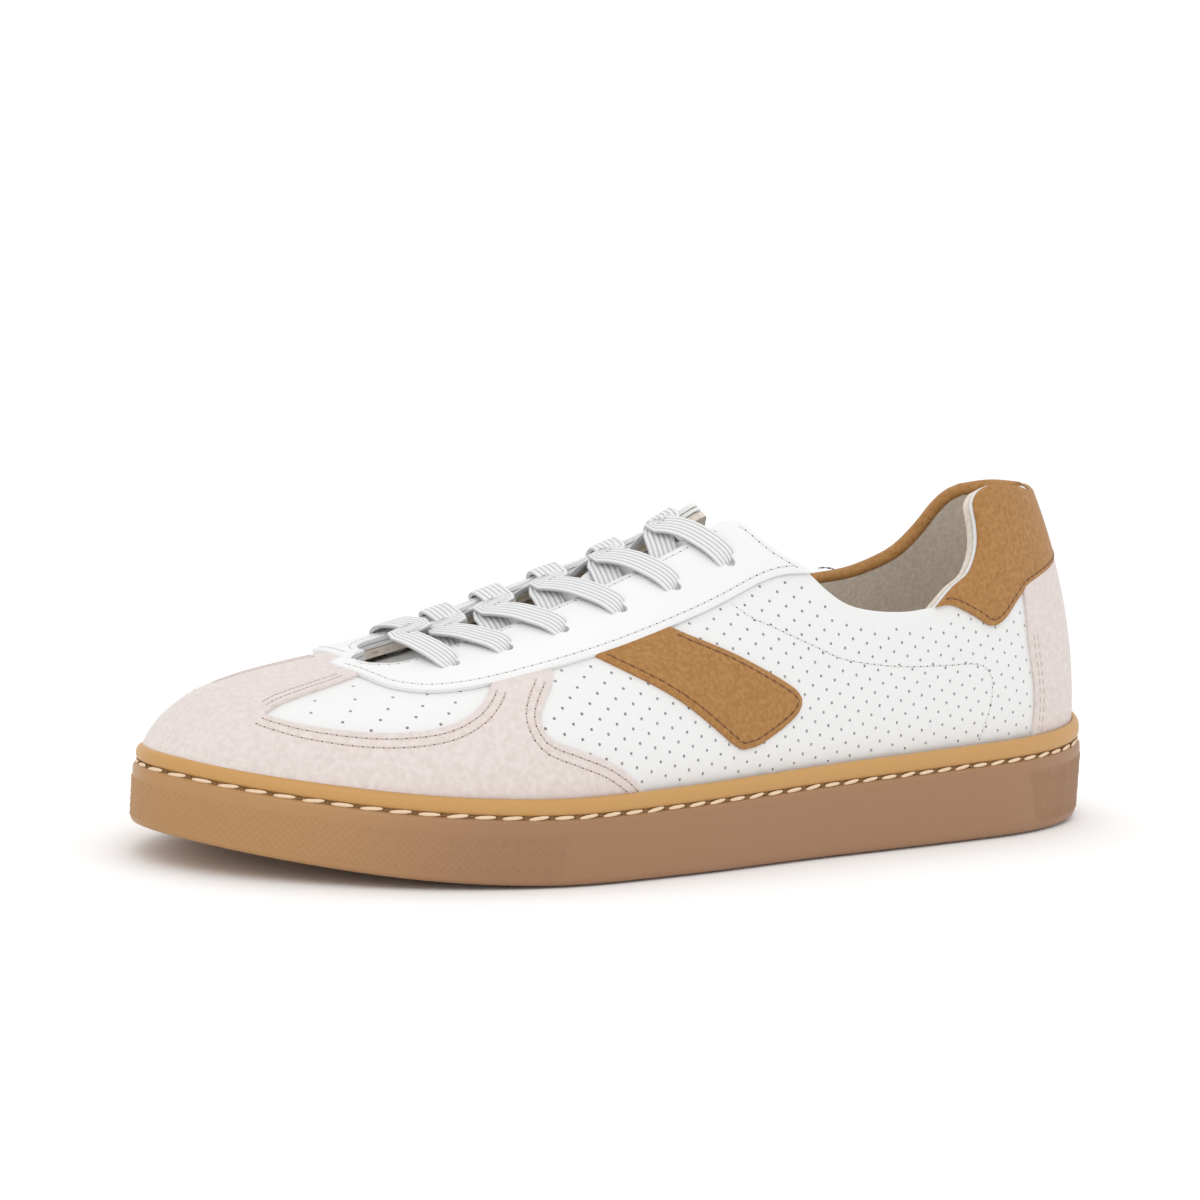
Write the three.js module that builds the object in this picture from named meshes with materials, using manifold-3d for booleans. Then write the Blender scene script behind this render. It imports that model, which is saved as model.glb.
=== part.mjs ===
// Court shoe, left foot: a cupsole trainer built up from its real layers.
// Millimetres, +Z up, the shoe stands on z = 0, toe towards -X, outer (lateral) side towards -Y.
import * as THREE from 'three';
import Module from 'manifold-3d';

// Sole: plan points from the toe tip down the lateral side to the heel and back up the medial side.
const SOLE_PLAN = [
  [-137, 8], [-130.5, -10], [-115, -26.5], [-91, -42], [-58, -50.5], [-20, -49], [22, -43.5],
  [66, -39], [100, -34], [124, -23.5], [136, -8], [137.5, 4], [131, 21], [108, 33.5], [70, 34],
  [25, 31], [-15, 37], [-50, 46.5], [-82, 48], [-108, 42], [-128, 27],
];
const SOLE_LENGTH = 275;
const SOLE_WIDTH = 98.5;
const TOE_SPRING = { start: -50, end: -138, rise: 8 };
const HEEL_BEVEL = { start: 105, end: 138, rise: 1.5 };
const WALL_HEIGHT = [[-138, 18], [-90, 19.5], [-40, 20.5], [40, 23], [138, 25.5]];

// Cupsole wall, as distance in from the plan outline against a share of the wall height.
const WALL_PROFILE = [[1.6, 0], [0.5, 0.07], [0, 0.2], [0, 0.7], [0.7, 0.745]];
const GROOVE_PROFILE = [[2.0, 0.755], [2.0, 0.825], [1.0, 0.835]];
const BAND_PROFILE = [[1.1, 0.93], [1.6, 0.985], [2.2, 1]];
const RIM_INNER = 3.1;
const CUP_FLOOR = 7.5;

// Upper: a ridge height along the shoe, and how square the cross-section is at each station.
const UPPER_INSET = 6.2;
const RIDGE = [
  [-138, 24], [-122, 35.5], [-95, 42], [-70, 47.5], [-35, 60], [0, 75], [30, 92], [70, 108],
  [138, 113],
];
const SPINE_X = [
  [-138, -103], [-122, -101], [-105, -94], [-85, -80], [-60, -58], [0, 0], [60, 58], [85, 78],
  [105, 92], [122, 98], [138, 100],
];
const SPINE_Y = [[-138, 9], [-100, 6], [-50, 1], [0, -3], [60, -1], [138, 0]];
const PLAN_POWER = [[-138, 2.9], [-80, 2.7], [-40, 2.3], [10, 1.6], [80, 1.35], [138, 0.85]];
const HEIGHT_POWER = [[-138, 2.6], [-80, 2.5], [-40, 2.2], [10, 1.9], [80, 1.8], [138, 2]];
const UPPER_SINK = 3;

// Layers of the upper, as distance out from the base surface.
const LINING = [-2.4, -1.3];
const STIFFENER = [-1, -0.3];
const LEATHER = [0, 1.2];
const OVERLAY = [1.5, 2.7];

// Side-view outlines, x and z.
const TOPLINE_LATERAL = [[9, 78], [16, 72.5], [24, 67.5], [34, 61], [44, 58], [57, 57]];
const TOPLINE_MEDIAL = [[9, 78], [16, 72.5], [24, 67.5], [34, 61], [44, 58.5], [57, 58.5]];
const HEEL_RISE = [
  [66, 59], [74, 63], [80, 67.5], [83, 74], [84.5, 82], [88, 86], [95, 87.5], [140, 88],
];
const EYESTAY_LOWER = [
  [-91, 60], [-90, 42], [-84, 41], [-76, 41.5], [-59, 44.5], [-37, 50], [-18, 55], [-1, 60],
  [9, 63], [22, 68],
];

const GAP = 0.3;
const FAR = 160;
const RING = 64;
const AROUND = 32;
const OVER = 9;

const wasm = await Module();
wasm.setup();
const group = new THREE.Group();

const clamp = (value, low, high) => Math.min(high, Math.max(low, value));
const lerp = (a, b, share) => a + (b - a) * share;

// Smooth value of y at x through a table of [x, y], with slopes that never overshoot.
function smooth(table, x) {
  const last = table.length - 1;
  const at = clamp(x, table[0][0], table[last][0]);
  let i = 0;
  while (i < last - 1 && at > table[i + 1][0]) i += 1;
  const slope = (k) => (table[k + 1][1] - table[k][1]) / (table[k + 1][0] - table[k][0]);
  const tangent = (k) => {
    if (k === 0) return slope(0);
    if (k === last) return slope(last - 1);
    const [before, after] = [slope(k - 1), slope(k)];
    return before * after <= 0 ? 0 : (2 * before * after) / (before + after);
  };
  const width = table[i + 1][0] - table[i][0];
  const s = (at - table[i][0]) / width;
  const [h00, h10] = [(1 + 2 * s) * (1 - s) ** 2, s * (1 - s) ** 2];
  const [h01, h11] = [s * s * (3 - 2 * s), s * s * (s - 1)];
  const ends = h00 * table[i][1] + h01 * table[i + 1][1];
  return ends + width * (h10 * tangent(i) + h11 * tangent(i + 1));
}

const planCurve = new THREE.CatmullRomCurve3(
  SOLE_PLAN.map(([x, y]) => new THREE.Vector3(x, y, 0)), true, 'catmullrom', 0.5);
const planBox = new THREE.Box3().setFromPoints(planCurve.getPoints(840));
const planMiddle = planBox.getCenter(new THREE.Vector3());
const planSize = planBox.getSize(new THREE.Vector3());

// Point t of the sole plan (0 toe tip, 0.5 heel back, 1 toe tip), moved inwards.
function plan(t, inset = 0) {
  const wrapped = ((t % 1) + 1) % 1;
  const point = planCurve.getPoint(wrapped).sub(planMiddle);
  const tangent = planCurve.getTangent(wrapped);
  const x = (point.x * SOLE_LENGTH) / planSize.x - tangent.y * inset;
  const y = (point.y * SOLE_WIDTH) / planSize.y + tangent.x * inset;
  return [x, y];
}

function ramp(x, { start, end, rise }) {
  return rise * clamp((x - start) / (end - start), 0, 1) ** 2;
}

const soleBottom = (x) => ramp(x, TOE_SPRING) + ramp(x, HEEL_BEVEL);
const soleTop = (x) => soleBottom(x) + smooth(WALL_HEIGHT, x);

// A closed body from merged points and faces, welded where points meet.
class Body {
  constructor() {
    this.points = [];
    this.faces = [];
    this.known = new Map();
  }

  point(x, y, z) {
    const key = [x, y, z].map((value) => Math.round(value * 1000)).join();
    if (!this.known.has(key)) {
      this.known.set(key, this.points.length);
      this.points.push([x, y, z]);
    }
    return this.known.get(key);
  }

  face(a, b, c) {
    if (a !== b && b !== c && c !== a) this.faces.push([a, b, c]);
  }

  quad(a, b, c, d) {
    this.face(a, b, c);
    this.face(a, c, d);
  }

  solid() {
    return new wasm.Manifold(new wasm.Mesh({
      numProp: 3,
      vertProperties: new Float32Array(this.points.flat()),
      triVerts: new Uint32Array(this.faces.flat()),
    }));
  }
}

// Rings stacked from the first to the last; both ends are closed by strips across the ring.
function loft(rings) {
  const body = new Body();
  const rows = rings.map((ring) => ring.map((point) => body.point(...point)));
  const count = rows[0].length;
  for (let r = 0; r + 1 < rows.length; r += 1) {
    for (let i = 0; i < count; i += 1) {
      const next = (i + 1) % count;
      body.quad(rows[r][i], rows[r][next], rows[r + 1][next], rows[r + 1][i]);
    }
  }
  const half = count / 2;
  const first = rows[0];
  const last = rows[rows.length - 1];
  for (let i = 0; i < half; i += 1) {
    const [j, k] = [(count - i) % count, count - i - 1];
    body.quad(first[i], first[j], first[k], first[i + 1]);
    body.quad(last[i], last[i + 1], last[k], last[j]);
  }
  return body.solid();
}

function planRing(inset, height, count = RING) {
  const ring = [];
  for (let i = 0; i < count; i += 1) {
    const [x, y] = plan(i / count, inset);
    ring.push([x, y, height(x)]);
  }
  return ring;
}

const wallHeight = (share) => (x) => lerp(soleBottom(x), soleTop(x), share);
const wallRings = (profile) => profile.map(([inset, share]) => planRing(inset, wallHeight(share)));

// Point of the base surface: t runs round the shoe, v from the sole (0) up to the ridge (1).
function surfacePoint(t, v) {
  const [x, y] = plan(t, UPPER_INSET);
  const spineX = smooth(SPINE_X, x);
  const spineY = smooth(SPINE_Y, spineX);
  const across = 1 - Math.cos((v * Math.PI) / 2) ** (2 / smooth(PLAN_POWER, x));
  const up = Math.sin((v * Math.PI) / 2) ** (2 / smooth(HEIGHT_POWER, x));
  const px = lerp(x, spineX, v === 1 ? 1 : across);
  const py = lerp(y, spineY, v === 1 ? 1 : across);
  const foot = soleTop(x) - UPPER_SINK;
  return [px, py, lerp(foot, smooth(RIDGE, px), v === 0 ? 0 : up)];
}

// The whole last surface as a grid over the shoe, from the lateral edge across to the medial edge.
function surfaceGrid() {
  const body = new Body();
  const rows = [];
  for (let i = 0; i <= AROUND; i += 1) {
    const row = [];
    for (let j = 0; j <= 2 * OVER; j += 1) {
      const side = j <= OVER ? 0.5 * (i / AROUND) : 1 - 0.5 * (i / AROUND);
      const v = j <= OVER ? j / OVER : 2 - j / OVER;
      row.push(body.point(...surfacePoint(side, v)));
    }
    rows.push(row);
  }
  for (let i = 0; i < AROUND; i += 1) {
    for (let j = 0; j < 2 * OVER; j += 1) {
      body.quad(rows[i][j], rows[i + 1][j], rows[i + 1][j + 1], rows[i][j + 1]);
    }
  }
  return { body, rows };
}

const base = surfaceGrid();
const baseNormals = base.body.points.map(() => new THREE.Vector3());
for (const face of base.body.faces) {
  const [a, b, c] = face.map((index) => new THREE.Vector3(...base.body.points[index]));
  const normal = b.sub(a).cross(c.sub(a));
  face.forEach((index) => baseNormals[index].add(normal));
}
baseNormals.forEach((normal) => normal.normalize());

// A shell of the whole surface between two distances from it, closed along its lower edge.
function shell([inner, outer]) {
  const body = new Body();
  const place = (distance) => base.body.points.map((point, index) => {
    const [x, y, z] = new THREE.Vector3(...point).addScaledVector(baseNormals[index], distance).toArray();
    body.points.push([x, y, z]);
    return body.points.length - 1;
  });
  const inside = place(inner);
  const outside = place(outer);
  for (const [a, b, c] of base.body.faces) {
    body.face(outside[a], outside[b], outside[c]);
    body.face(inside[a], inside[c], inside[b]);
  }
  const lateral = base.rows.map((row) => row[0]);
  const medial = base.rows.map((row) => row[2 * OVER]).reverse();
  const rim = [...lateral, ...medial.slice(1, -1)];
  rim.forEach((a, index) => {
    const b = rim[(index + 1) % rim.length];
    body.quad(inside[a], inside[b], outside[b], outside[a]);
  });
  return body.solid();
}

function fromGeometry(geometry) {
  const body = new Body();
  const position = geometry.getAttribute('position');
  const indices = [];
  for (let i = 0; i < position.count; i += 1) {
    indices.push(body.point(position.getX(i), position.getY(i), position.getZ(i)));
  }
  const order = geometry.index ? Array.from(geometry.index.array) : indices.map((_, i) => i);
  for (let i = 0; i < order.length; i += 3) {
    body.face(indices[order[i]], indices[order[i + 1]], indices[order[i + 2]]);
  }
  return body.solid();
}

// A side-view outline (x, z) pushed through from one y to another.
function sidePrism(outline, yFrom, yTo) {
  const shape = new THREE.Shape(outline.map(([x, z]) => new THREE.Vector2(x, z)));
  const geometry = new THREE.ExtrudeGeometry(shape, { depth: yTo - yFrom, bevelEnabled: false });
  geometry.rotateX(Math.PI / 2);
  geometry.translate(0, yTo, 0);
  return fromGeometry(geometry);
}

// A plan-view outline (x, y) pushed up from one z to another.
function planPrism(outline, zFrom, zTo) {
  const shape = new THREE.Shape(outline.map(([x, y]) => new THREE.Vector2(x, y)));
  const geometry = new THREE.ExtrudeGeometry(shape, { depth: zTo - zFrom, bevelEnabled: false });
  geometry.translate(0, 0, zFrom);
  return fromGeometry(geometry);
}

const MATERIALS = {
  leather_white: ['#f4f3f0', 0.45],
  suede_offwhite: ['#efe5df', 0.9],
  suede_brown: ['#b98850', 0.95],
  lining: ['#cfc3b4', 0.9],
  gum_rubber: ['#b98a66', 0.5],
  thread: ['#f0d9bb', 0.8],
  foam: ['#d9d4c8', 0.95],
  board: ['#c9b48c', 0.9],
  steel: ['#9aa0a6', 0.4],
  lace: ['#f2f1ee', 0.85],
  felt: ['#c4beb2', 0.95],
};

const SMALLEST_PIECE = 5;

function add(name, slot, solid) {
  const parts = solid.decompose().filter((part) => part.volume() > SMALLEST_PIECE);
  parts.sort((a, b) => b.volume() - a.volume());
  const { vertProperties, triVerts, numProp } = parts[0].getMesh();
  const positions = [];
  for (let i = 0; i < vertProperties.length; i += numProp) {
    positions.push(vertProperties[i], vertProperties[i + 1], vertProperties[i + 2]);
  }
  const geometry = new THREE.BufferGeometry();
  geometry.setAttribute('position', new THREE.Float32BufferAttribute(positions, 3));
  geometry.setIndex(Array.from(triVerts));
  geometry.computeVertexNormals();
  const [color, roughness] = MATERIALS[slot];
  const mesh = new THREE.Mesh(geometry, new THREE.MeshStandardMaterial({ color, roughness }));
  mesh.name = name;
  mesh.material.name = slot;
  group.add(mesh);
}

// Cuts in plan and side view.
const THROAT = [
  [-81, 3], [-80, -5], [-74, -8.5], [-52, -11.5], [-36, -12.5], [-9, -12.5], [10, -12.5], [90, -13],
  [90, 9], [10, 8], [-9, 8.5], [-36, 10], [-52, 11.5], [-74, 13], [-80, 9],
];
const WINDOW = [
  [-116, 33], [-106, 39.5], [-71, 40.5], [-74, 37], [-82, 34.5], [-92, 32.5], [-104, 31.5],
];
const TOE_BAR = [-7, 18];
const STRAP_REAR = [
  [-53, 48], [-58, 40], [-60, 36], [-58, 33], [-52, 29.5], [-38, 24], [-32, 13],
];
const VAMP_REAR = [[-64, 140], [-67, 40], [-56, 26], [-50, 10]];
const TAB_LOWER = [[64, 60], [69, 58], [77, 55.5], [84, 53], [91, 56], [99, 60.5], [160, 63]];
const BACKSTAY_FRONT = [[97, 60], [99, 48], [101.5, 37], [100, 10]];
const SIDE_BAND = [[-45, 46], [-26, 52], [18, 40], [17, 34], [3, 27]];
const HEEL_SEAM_Y = 1;
const PUFF_REAR = -106;
const COUNTER = [[58, 10], [62, 34], [74, 47], [90, 51], [160, 51], [160, 10]];
const FOAM_LOW = [[160, 52], [90, 52], [72, 48.5], [40, 48.5]];
const LINING_SEAM_X = -52;
const REINFORCEMENT_WIDTH = 13;

// Eyelets: x, then y on the lateral and on the medial eyestay.
const EYELETS = [
  [-72, -17, 20], [-57, -18.5, 19], [-43, -20, 18], [-27, -20.5, 16.5], [-12, -20, 15],
  [4, -19.5, 13.5],
];
const EYELET_RADIUS = 2.1;
const LACE_WIDTH = 6.4;
const LACE_THICKNESS = 1.1;
const LACE_STEM_RADIUS = 1.5;

const TONGUE_LAYER = [-8, -6.2];
const TONGUE_LINING_LAYER = [-9.2, -8.3];
const KEEPER_LAYER = [-5.9, -5.3];
const TONGUE_PLAN = [
  [-80, -6], [-74, -12], [-52, -17], [-20, -18], [4, -17], [12, -12], [14, -2], [12, 7], [4, 12],
  [-20, 14], [-52, 18], [-74, 17], [-80, 11],
];

const widened = (outline, dx, dy) => outline.map(([x, y]) => [x + dx, y + dy]);
const grown = (outline, amount) => {
  const shape = outline.map(([x, y]) => new THREE.Vector2(x, y));
  const clockwise = THREE.ShapeUtils.isClockWise(shape);
  return shape.map((point, i) => {
    const before = shape[(i + shape.length - 1) % shape.length];
    const after = shape[(i + 1) % shape.length];
    const along = after.clone().sub(before).normalize();
    const sign = clockwise ? -1 : 1;
    return [point.x + sign * along.y * amount, point.y - sign * along.x * amount];
  });
};

const belowTopline = (topline, drop) => {
  const edge = [...topline, ...HEEL_RISE].map(([x, z]) => [x, z - drop]);
  return [[-FAR, 0], [-FAR, 140], [edge[0][0], 140], ...edge, [FAR, edge[edge.length - 1][1]], [FAR, 0]];
};
const collarCut = (drop) => {
  const lateral = sidePrism(belowTopline(TOPLINE_LATERAL, drop), -FAR, 0);
  const medial = sidePrism(belowTopline(TOPLINE_MEDIAL, drop), 0, FAR);
  return lateral.add(medial);
};
const sideCut = (outline) => sidePrism(outline, -FAR, FAR);
const frontOf = (edge) => sideCut([[-FAR, 0], [-FAR, 140], ...edge]);
const behind = (edge, shift = 0) => sideCut([...widened(edge, shift, 0), [FAR, 0], [FAR, 140]]);
const heightBox = (x0, x1, z0, z1) => sideCut([[x0, z0], [x1, z0], [x1, z1], [x0, z1]]);
const slabBetween = (low, high) => sidePrism([[-FAR, 0], [FAR, 0], [FAR, 140], [-FAR, 140]], low, high);
const sideOnly = (solid, side) => {
  const [low, high] = side < 0 ? [-FAR, HEEL_SEAM_Y - GAP / 2] : [HEEL_SEAM_Y + GAP / 2, FAR];
  return solid.intersect(slabBetween(low, high));
};

const throat = planPrism(THROAT, -10, 140);
const throatAt = (grow) => planPrism(grown(THROAT, grow), -10, 140);

// Outward direction and place of the surface under a plan point.
const caster = new THREE.Raycaster();
const baseGeometry = new THREE.BufferGeometry();
baseGeometry.setAttribute('position', new THREE.Float32BufferAttribute(base.body.points.flat(), 3));
baseGeometry.setIndex(base.body.faces.flat());
const baseMesh = new THREE.Mesh(baseGeometry, new THREE.MeshBasicMaterial({ side: THREE.DoubleSide }));
function under(x, y) {
  caster.set(new THREE.Vector3(x, y, 300), new THREE.Vector3(0, 0, -1));
  const hit = caster.intersectObject(baseMesh)[0];
  const normal = hit.face.normal.clone();
  if (normal.z < 0) normal.negate();
  return { point: hit.point, normal };
}

function stem(from, to, radius, sides = 5) {
  const path = new THREE.LineCurve3(from, to);
  const ring = new THREE.Shape().absarc(0, 0, radius, 0, Math.PI * 2);
  return fromGeometry(new THREE.ExtrudeGeometry(ring, { steps: 1, extrudePath: path, curveSegments: sides }));
}

const eyelets = EYELETS.flatMap(([x, lateral, medial]) => [under(x, lateral), under(x, medial)]);
const holes = eyelets.map(({ point, normal }) => stem(
  point.clone().addScaledVector(normal, -9), point.clone().addScaledVector(normal, 9), EYELET_RADIUS));
const punched = (solid) => holes.reduce((left, hole) => left.subtract(hole), solid);

// Sole
const cupsole = loft([
  ...wallRings(WALL_PROFILE), ...wallRings(GROOVE_PROFILE), ...wallRings(BAND_PROFILE),
  planRing(RIM_INNER - 0.3, (x) => soleTop(x)), planRing(RIM_INNER, (x) => soleTop(x) - 1),
  planRing(RIM_INNER + 0.4, (x) => soleBottom(x) + CUP_FLOOR),
]);
add('cupsole', 'gum_rubber', cupsole);

function plate(inset, low, high) {
  return loft([
    planRing(inset, (x) => soleBottom(x) + low),
    planRing(inset, (x) => soleBottom(x) + high),
  ]);
}

function stitchRing() {
  const body = new Body();
  const sides = 5;
  const count = RING;
  const ring = (i) => Array.from({ length: sides }, (_, s) => {
    const angle = (s / sides) * Math.PI * 2;
    const [x, y] = plan(i / count, 1.3 - 0.6 * Math.cos(angle));
    return body.point(x, y, lerp(soleBottom(x), soleTop(x), 0.79) + 0.6 * Math.sin(angle));
  });
  for (let i = 0; i < count; i += 1) {
    const [here, next] = [ring(i), ring((i + 1) % count)];
    for (let s = 0; s < sides; s += 1) {
      const t = (s + 1) % sides;
      body.quad(here[s], next[s], next[t], here[t]);
    }
  }
  return body.solid();
}
add('sole_stitch_thread', 'thread', stitchRing());

const SHANK = { from: -20, to: 88, halfWidth: 7, low: 10, high: 11.5 };
const shankBox = (grow) => planPrism([
  [SHANK.from - grow, -SHANK.halfWidth - grow], [SHANK.to + grow, -SHANK.halfWidth - grow],
  [SHANK.to + grow, SHANK.halfWidth + grow], [SHANK.from - grow, SHANK.halfWidth + grow],
], SHANK.low - grow, SHANK.high + (grow > 0 ? 5 : 0));
add('midsole_filler', 'foam', plate(6.2, CUP_FLOOR + 0.3, 13).subtract(shankBox(GAP)));
add('shank', 'steel', shankBox(0));
add('insole_board', 'board', plate(12.6, 13.3, 15.2));
add('sockliner', 'felt', plate(13.4, 15.5, 19));

// Upper
const leather = shell(LEATHER);
const overlay = shell(OVERLAY);
const lining = shell(LINING);
const stiffener = shell(STIFFENER);

const collar = collarCut(0);
const upperLeather = punched(leather.intersect(collar).subtract(throat));
add('vamp', 'leather_white', upperLeather.intersect(frontOf(VAMP_REAR)));
const quarters = upperLeather.intersect(behind(VAMP_REAR, GAP));
add('quarter_lateral', 'leather_white', sideOnly(quarters, -1));
add('quarter_medial', 'leather_white', sideOnly(quarters, 1));

const eyestayOutline = (grow) => [
  ...widened(EYESTAY_LOWER, -grow, -grow), [22 + grow, 140], [-91 - grow, 140]];
const eyestayArea = sideCut(eyestayOutline(0));
const eyestayAreaGrown = sideCut(eyestayOutline(GAP));
const eyestay = overlay.intersect(eyestayArea).intersect(collar).subtract(throatAt(-0.4));
add('eyestay', 'leather_white', punched(eyestay));

const windows = sidePrism(WINDOW, -FAR, TOE_BAR[0]).add(sidePrism(WINDOW, TOE_BAR[1], FAR));
const toeArea = overlay.intersect(frontOf([[-62, 140], ...STRAP_REAR]));
const toeCap = toeArea.subtract(eyestayAreaGrown).subtract(windows);
add('toe_cap', 'suede_offwhite', toeCap);

const band = overlay.intersect(sidePrism(SIDE_BAND, -FAR, FAR)).subtract(eyestayAreaGrown);
add('side_band_lateral', 'suede_brown', sideOnly(band, -1));
add('side_band_medial', 'suede_brown', sideOnly(band, 1));

const tabArea = sideCut([...TAB_LOWER, [160, 140], [64, 140]]);
add('heel_tab', 'suede_brown', overlay.intersect(tabArea).intersect(collar));
const belowTab = sideCut([...widened(TAB_LOWER, 0, -GAP), [160, 0], [64, 0]]);
const backstay = overlay.intersect(behind([[96, 140], ...BACKSTAY_FRONT])).intersect(belowTab);
add('backstay', 'suede_offwhite', backstay);

const bindingTop = [...TOPLINE_MEDIAL.slice(1), [64 - GAP, 58.7]];
const bindingArea = sidePrism(
  [...bindingTop, ...widened(bindingTop, 0, -4).reverse()], HEEL_SEAM_Y, FAR);
add('collar_binding', 'suede_brown', overlay.intersect(bindingArea).subtract(eyestayAreaGrown)
  .subtract(heightBox(0, 23, 0, 140)));

const linedArea = lining.intersect(collarCut(0.6)).subtract(throat);
const linings = punched(linedArea);
add('vamp_lining', 'lining', linings.subtract(heightBox(LINING_SEAM_X, FAR, 0, 140)));
add('quarter_lining', 'lining', linings.intersect(heightBox(LINING_SEAM_X + GAP, FAR, 0, 140)));

add('toe_puff', 'board', stiffener.subtract(heightBox(PUFF_REAR, FAR, 0, 140)));
const counter = sidePrism(COUNTER, -FAR, FAR);
add('heel_counter', 'board', stiffener.intersect(counter));
const foamArea = sidePrism([...FOAM_LOW, [40, 140], [160, 140]], -FAR, FAR);
add('collar_foam', 'foam', stiffener.intersect(foamArea).intersect(collarCut(1)).subtract(throat));

const besideThroat = stiffener.intersect(throatAt(REINFORCEMENT_WIDTH)).subtract(throat);
const strip = punched(besideThroat.intersect(heightBox(-79, 8, 0, 140)).intersect(collarCut(1)));
add('eyelet_reinforcement_lateral', 'board', strip.intersect(slabBetween(-FAR, -2)));
add('eyelet_reinforcement_medial', 'board', strip.intersect(slabBetween(2, FAR)));

// Tongue
const tonguePlan = planPrism(TONGUE_PLAN, 0, 140);
add('tongue', 'leather_white', shell(TONGUE_LAYER).intersect(tonguePlan));
add('tongue_lining', 'lining', shell(TONGUE_LINING_LAYER).intersect(tonguePlan));
const KEEPER = [[-24, -10], [-16, -10], [-16, 6], [-24, 6]];
add('tongue_lace_keeper', 'leather_white', shell(KEEPER_LAYER).intersect(planPrism(KEEPER, 0, 140)));

// Lace: each leg starts under one eyestay, crosses the tongue and enters the next eyelet from above.
function ribbon(points, width = LACE_WIDTH, thickness = LACE_THICKNESS) {
  const body = new Body();
  const rows = points.map(({ point, normal }, i) => {
    const before = points[Math.max(i - 1, 0)].point;
    const after = points[Math.min(i + 1, points.length - 1)].point;
    const along = after.clone().sub(before).normalize();
    const across = normal.clone().cross(along).normalize().multiplyScalar(width / 2);
    const up = along.clone().cross(across).normalize().multiplyScalar(thickness / 2);
    return [[-1, -1], [1, -1], [1, 1], [-1, 1]].map(([a, b]) => {
      const corner = point.clone().addScaledVector(across, a).addScaledVector(up, b);
      return body.point(corner.x, corner.y, corner.z);
    });
  });
  for (let i = 0; i + 1 < rows.length; i += 1) {
    for (let s = 0; s < 4; s += 1) {
      const t = (s + 1) % 4;
      body.quad(rows[i][s], rows[i][t], rows[i + 1][t], rows[i + 1][s]);
    }
  }
  const last = rows[rows.length - 1];
  body.quad(rows[0][0], rows[0][3], rows[0][2], rows[0][1]);
  body.quad(last[0], last[1], last[2], last[3]);
  return body.solid();
}

const OVER_EYESTAY = 3.9;
const UNDER_LINING = -4.6;
const eyelet = (side, k) => eyelets[2 * k + (side < 0 ? 0 : 1)];
function above(x, y, height) {
  const { point, normal } = under(x, y);
  return { point: point.clone().addScaledVector(normal, height), normal };
}
function leg(from, to, startHeight) {
  const rows = [];
  const steps = 8;
  for (let i = 0; i <= steps; i += 1) {
    const share = i / steps;
    const x = lerp(from.point.x, to.point.x, share);
    const y = lerp(from.point.y, to.point.y, share);
    const climb = smooth(
      [[0, startHeight], [0.18, startHeight], [0.5, OVER_EYESTAY], [1, OVER_EYESTAY]], share);
    rows.push(above(x, y, climb));
  }
  return ribbon(rows);
}
const plug = ({ point, normal }) => stem(
  point.clone().addScaledVector(normal, UNDER_LINING), point.clone().addScaledVector(normal, OVER_EYESTAY),
  LACE_STEM_RADIUS, 4);

let lace = leg(eyelet(1, 0), eyelet(-1, 0), OVER_EYESTAY);
for (let k = 0; k + 1 < EYELETS.length; k += 1) {
  lace = lace.add(leg(eyelet(-1, k), eyelet(1, k + 1), UNDER_LINING));
  lace = lace.add(leg(eyelet(1, k), eyelet(-1, k + 1), UNDER_LINING));
}
lace = eyelets.reduce((all, place) => all.add(plug(place)), lace);
add('lace', 'lace', lace);

export default group;
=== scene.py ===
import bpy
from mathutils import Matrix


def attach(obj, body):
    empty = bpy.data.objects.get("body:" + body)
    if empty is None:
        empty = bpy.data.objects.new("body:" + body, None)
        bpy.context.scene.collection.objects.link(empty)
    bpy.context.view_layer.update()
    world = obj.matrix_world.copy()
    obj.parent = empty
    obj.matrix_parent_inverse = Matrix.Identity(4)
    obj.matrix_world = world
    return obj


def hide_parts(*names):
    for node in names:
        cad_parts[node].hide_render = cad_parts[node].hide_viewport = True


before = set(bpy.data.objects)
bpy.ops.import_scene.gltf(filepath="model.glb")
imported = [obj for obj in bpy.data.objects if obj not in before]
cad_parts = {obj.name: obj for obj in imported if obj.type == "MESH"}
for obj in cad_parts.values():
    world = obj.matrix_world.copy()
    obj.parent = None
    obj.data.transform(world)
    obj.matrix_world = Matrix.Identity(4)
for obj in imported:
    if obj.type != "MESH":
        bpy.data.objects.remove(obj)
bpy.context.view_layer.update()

import math

import bmesh
import bpy
import numpy as np
from mathutils import Matrix, Vector
from mathutils.geometry import delaunay_2d_cdt

MM = 0.001

# ---------------------------------------------------------------- shape of the shoe, millimetres
# Toe towards -X, lateral side towards -Y. The plan runs from the toe tip down the lateral side
# to the heel and back up the medial side.
SOLE_PLAN = [
    (-137, 8), (-130.5, -10), (-115, -26.5), (-91, -42), (-58, -50.5), (-20, -49), (22, -43.5),
    (66, -39), (100, -34), (124, -23.5), (136, -8), (137.5, 4), (131, 21), (108, 33.5), (70, 34),
    (25, 31), (-15, 37), (-50, 46.5), (-82, 48), (-108, 42), (-128, 27),
]
SOLE_LENGTH = 275.0
SOLE_WIDTH = 98.5
TOE_SPRING = (-50.0, -138.0, 8.0)
HEEL_BEVEL = (105.0, 138.0, 1.5)
WALL_HEIGHT = [(-138, 18), (-90, 19.5), (-40, 20.5), (40, 23), (138, 25.5)]
UPPER_INSET = [(-138, 3.4), (-110, 4.2), (-60, 5.2), (100, 5.2), (138, 4.6)]
UPPER_SINK = 3.0
RIDGE = [
    (-138, 24), (-122, 35.5), (-95, 42), (-70, 47.5), (-35, 60), (0, 75), (30, 92), (70, 108), (138, 113),
]
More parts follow.
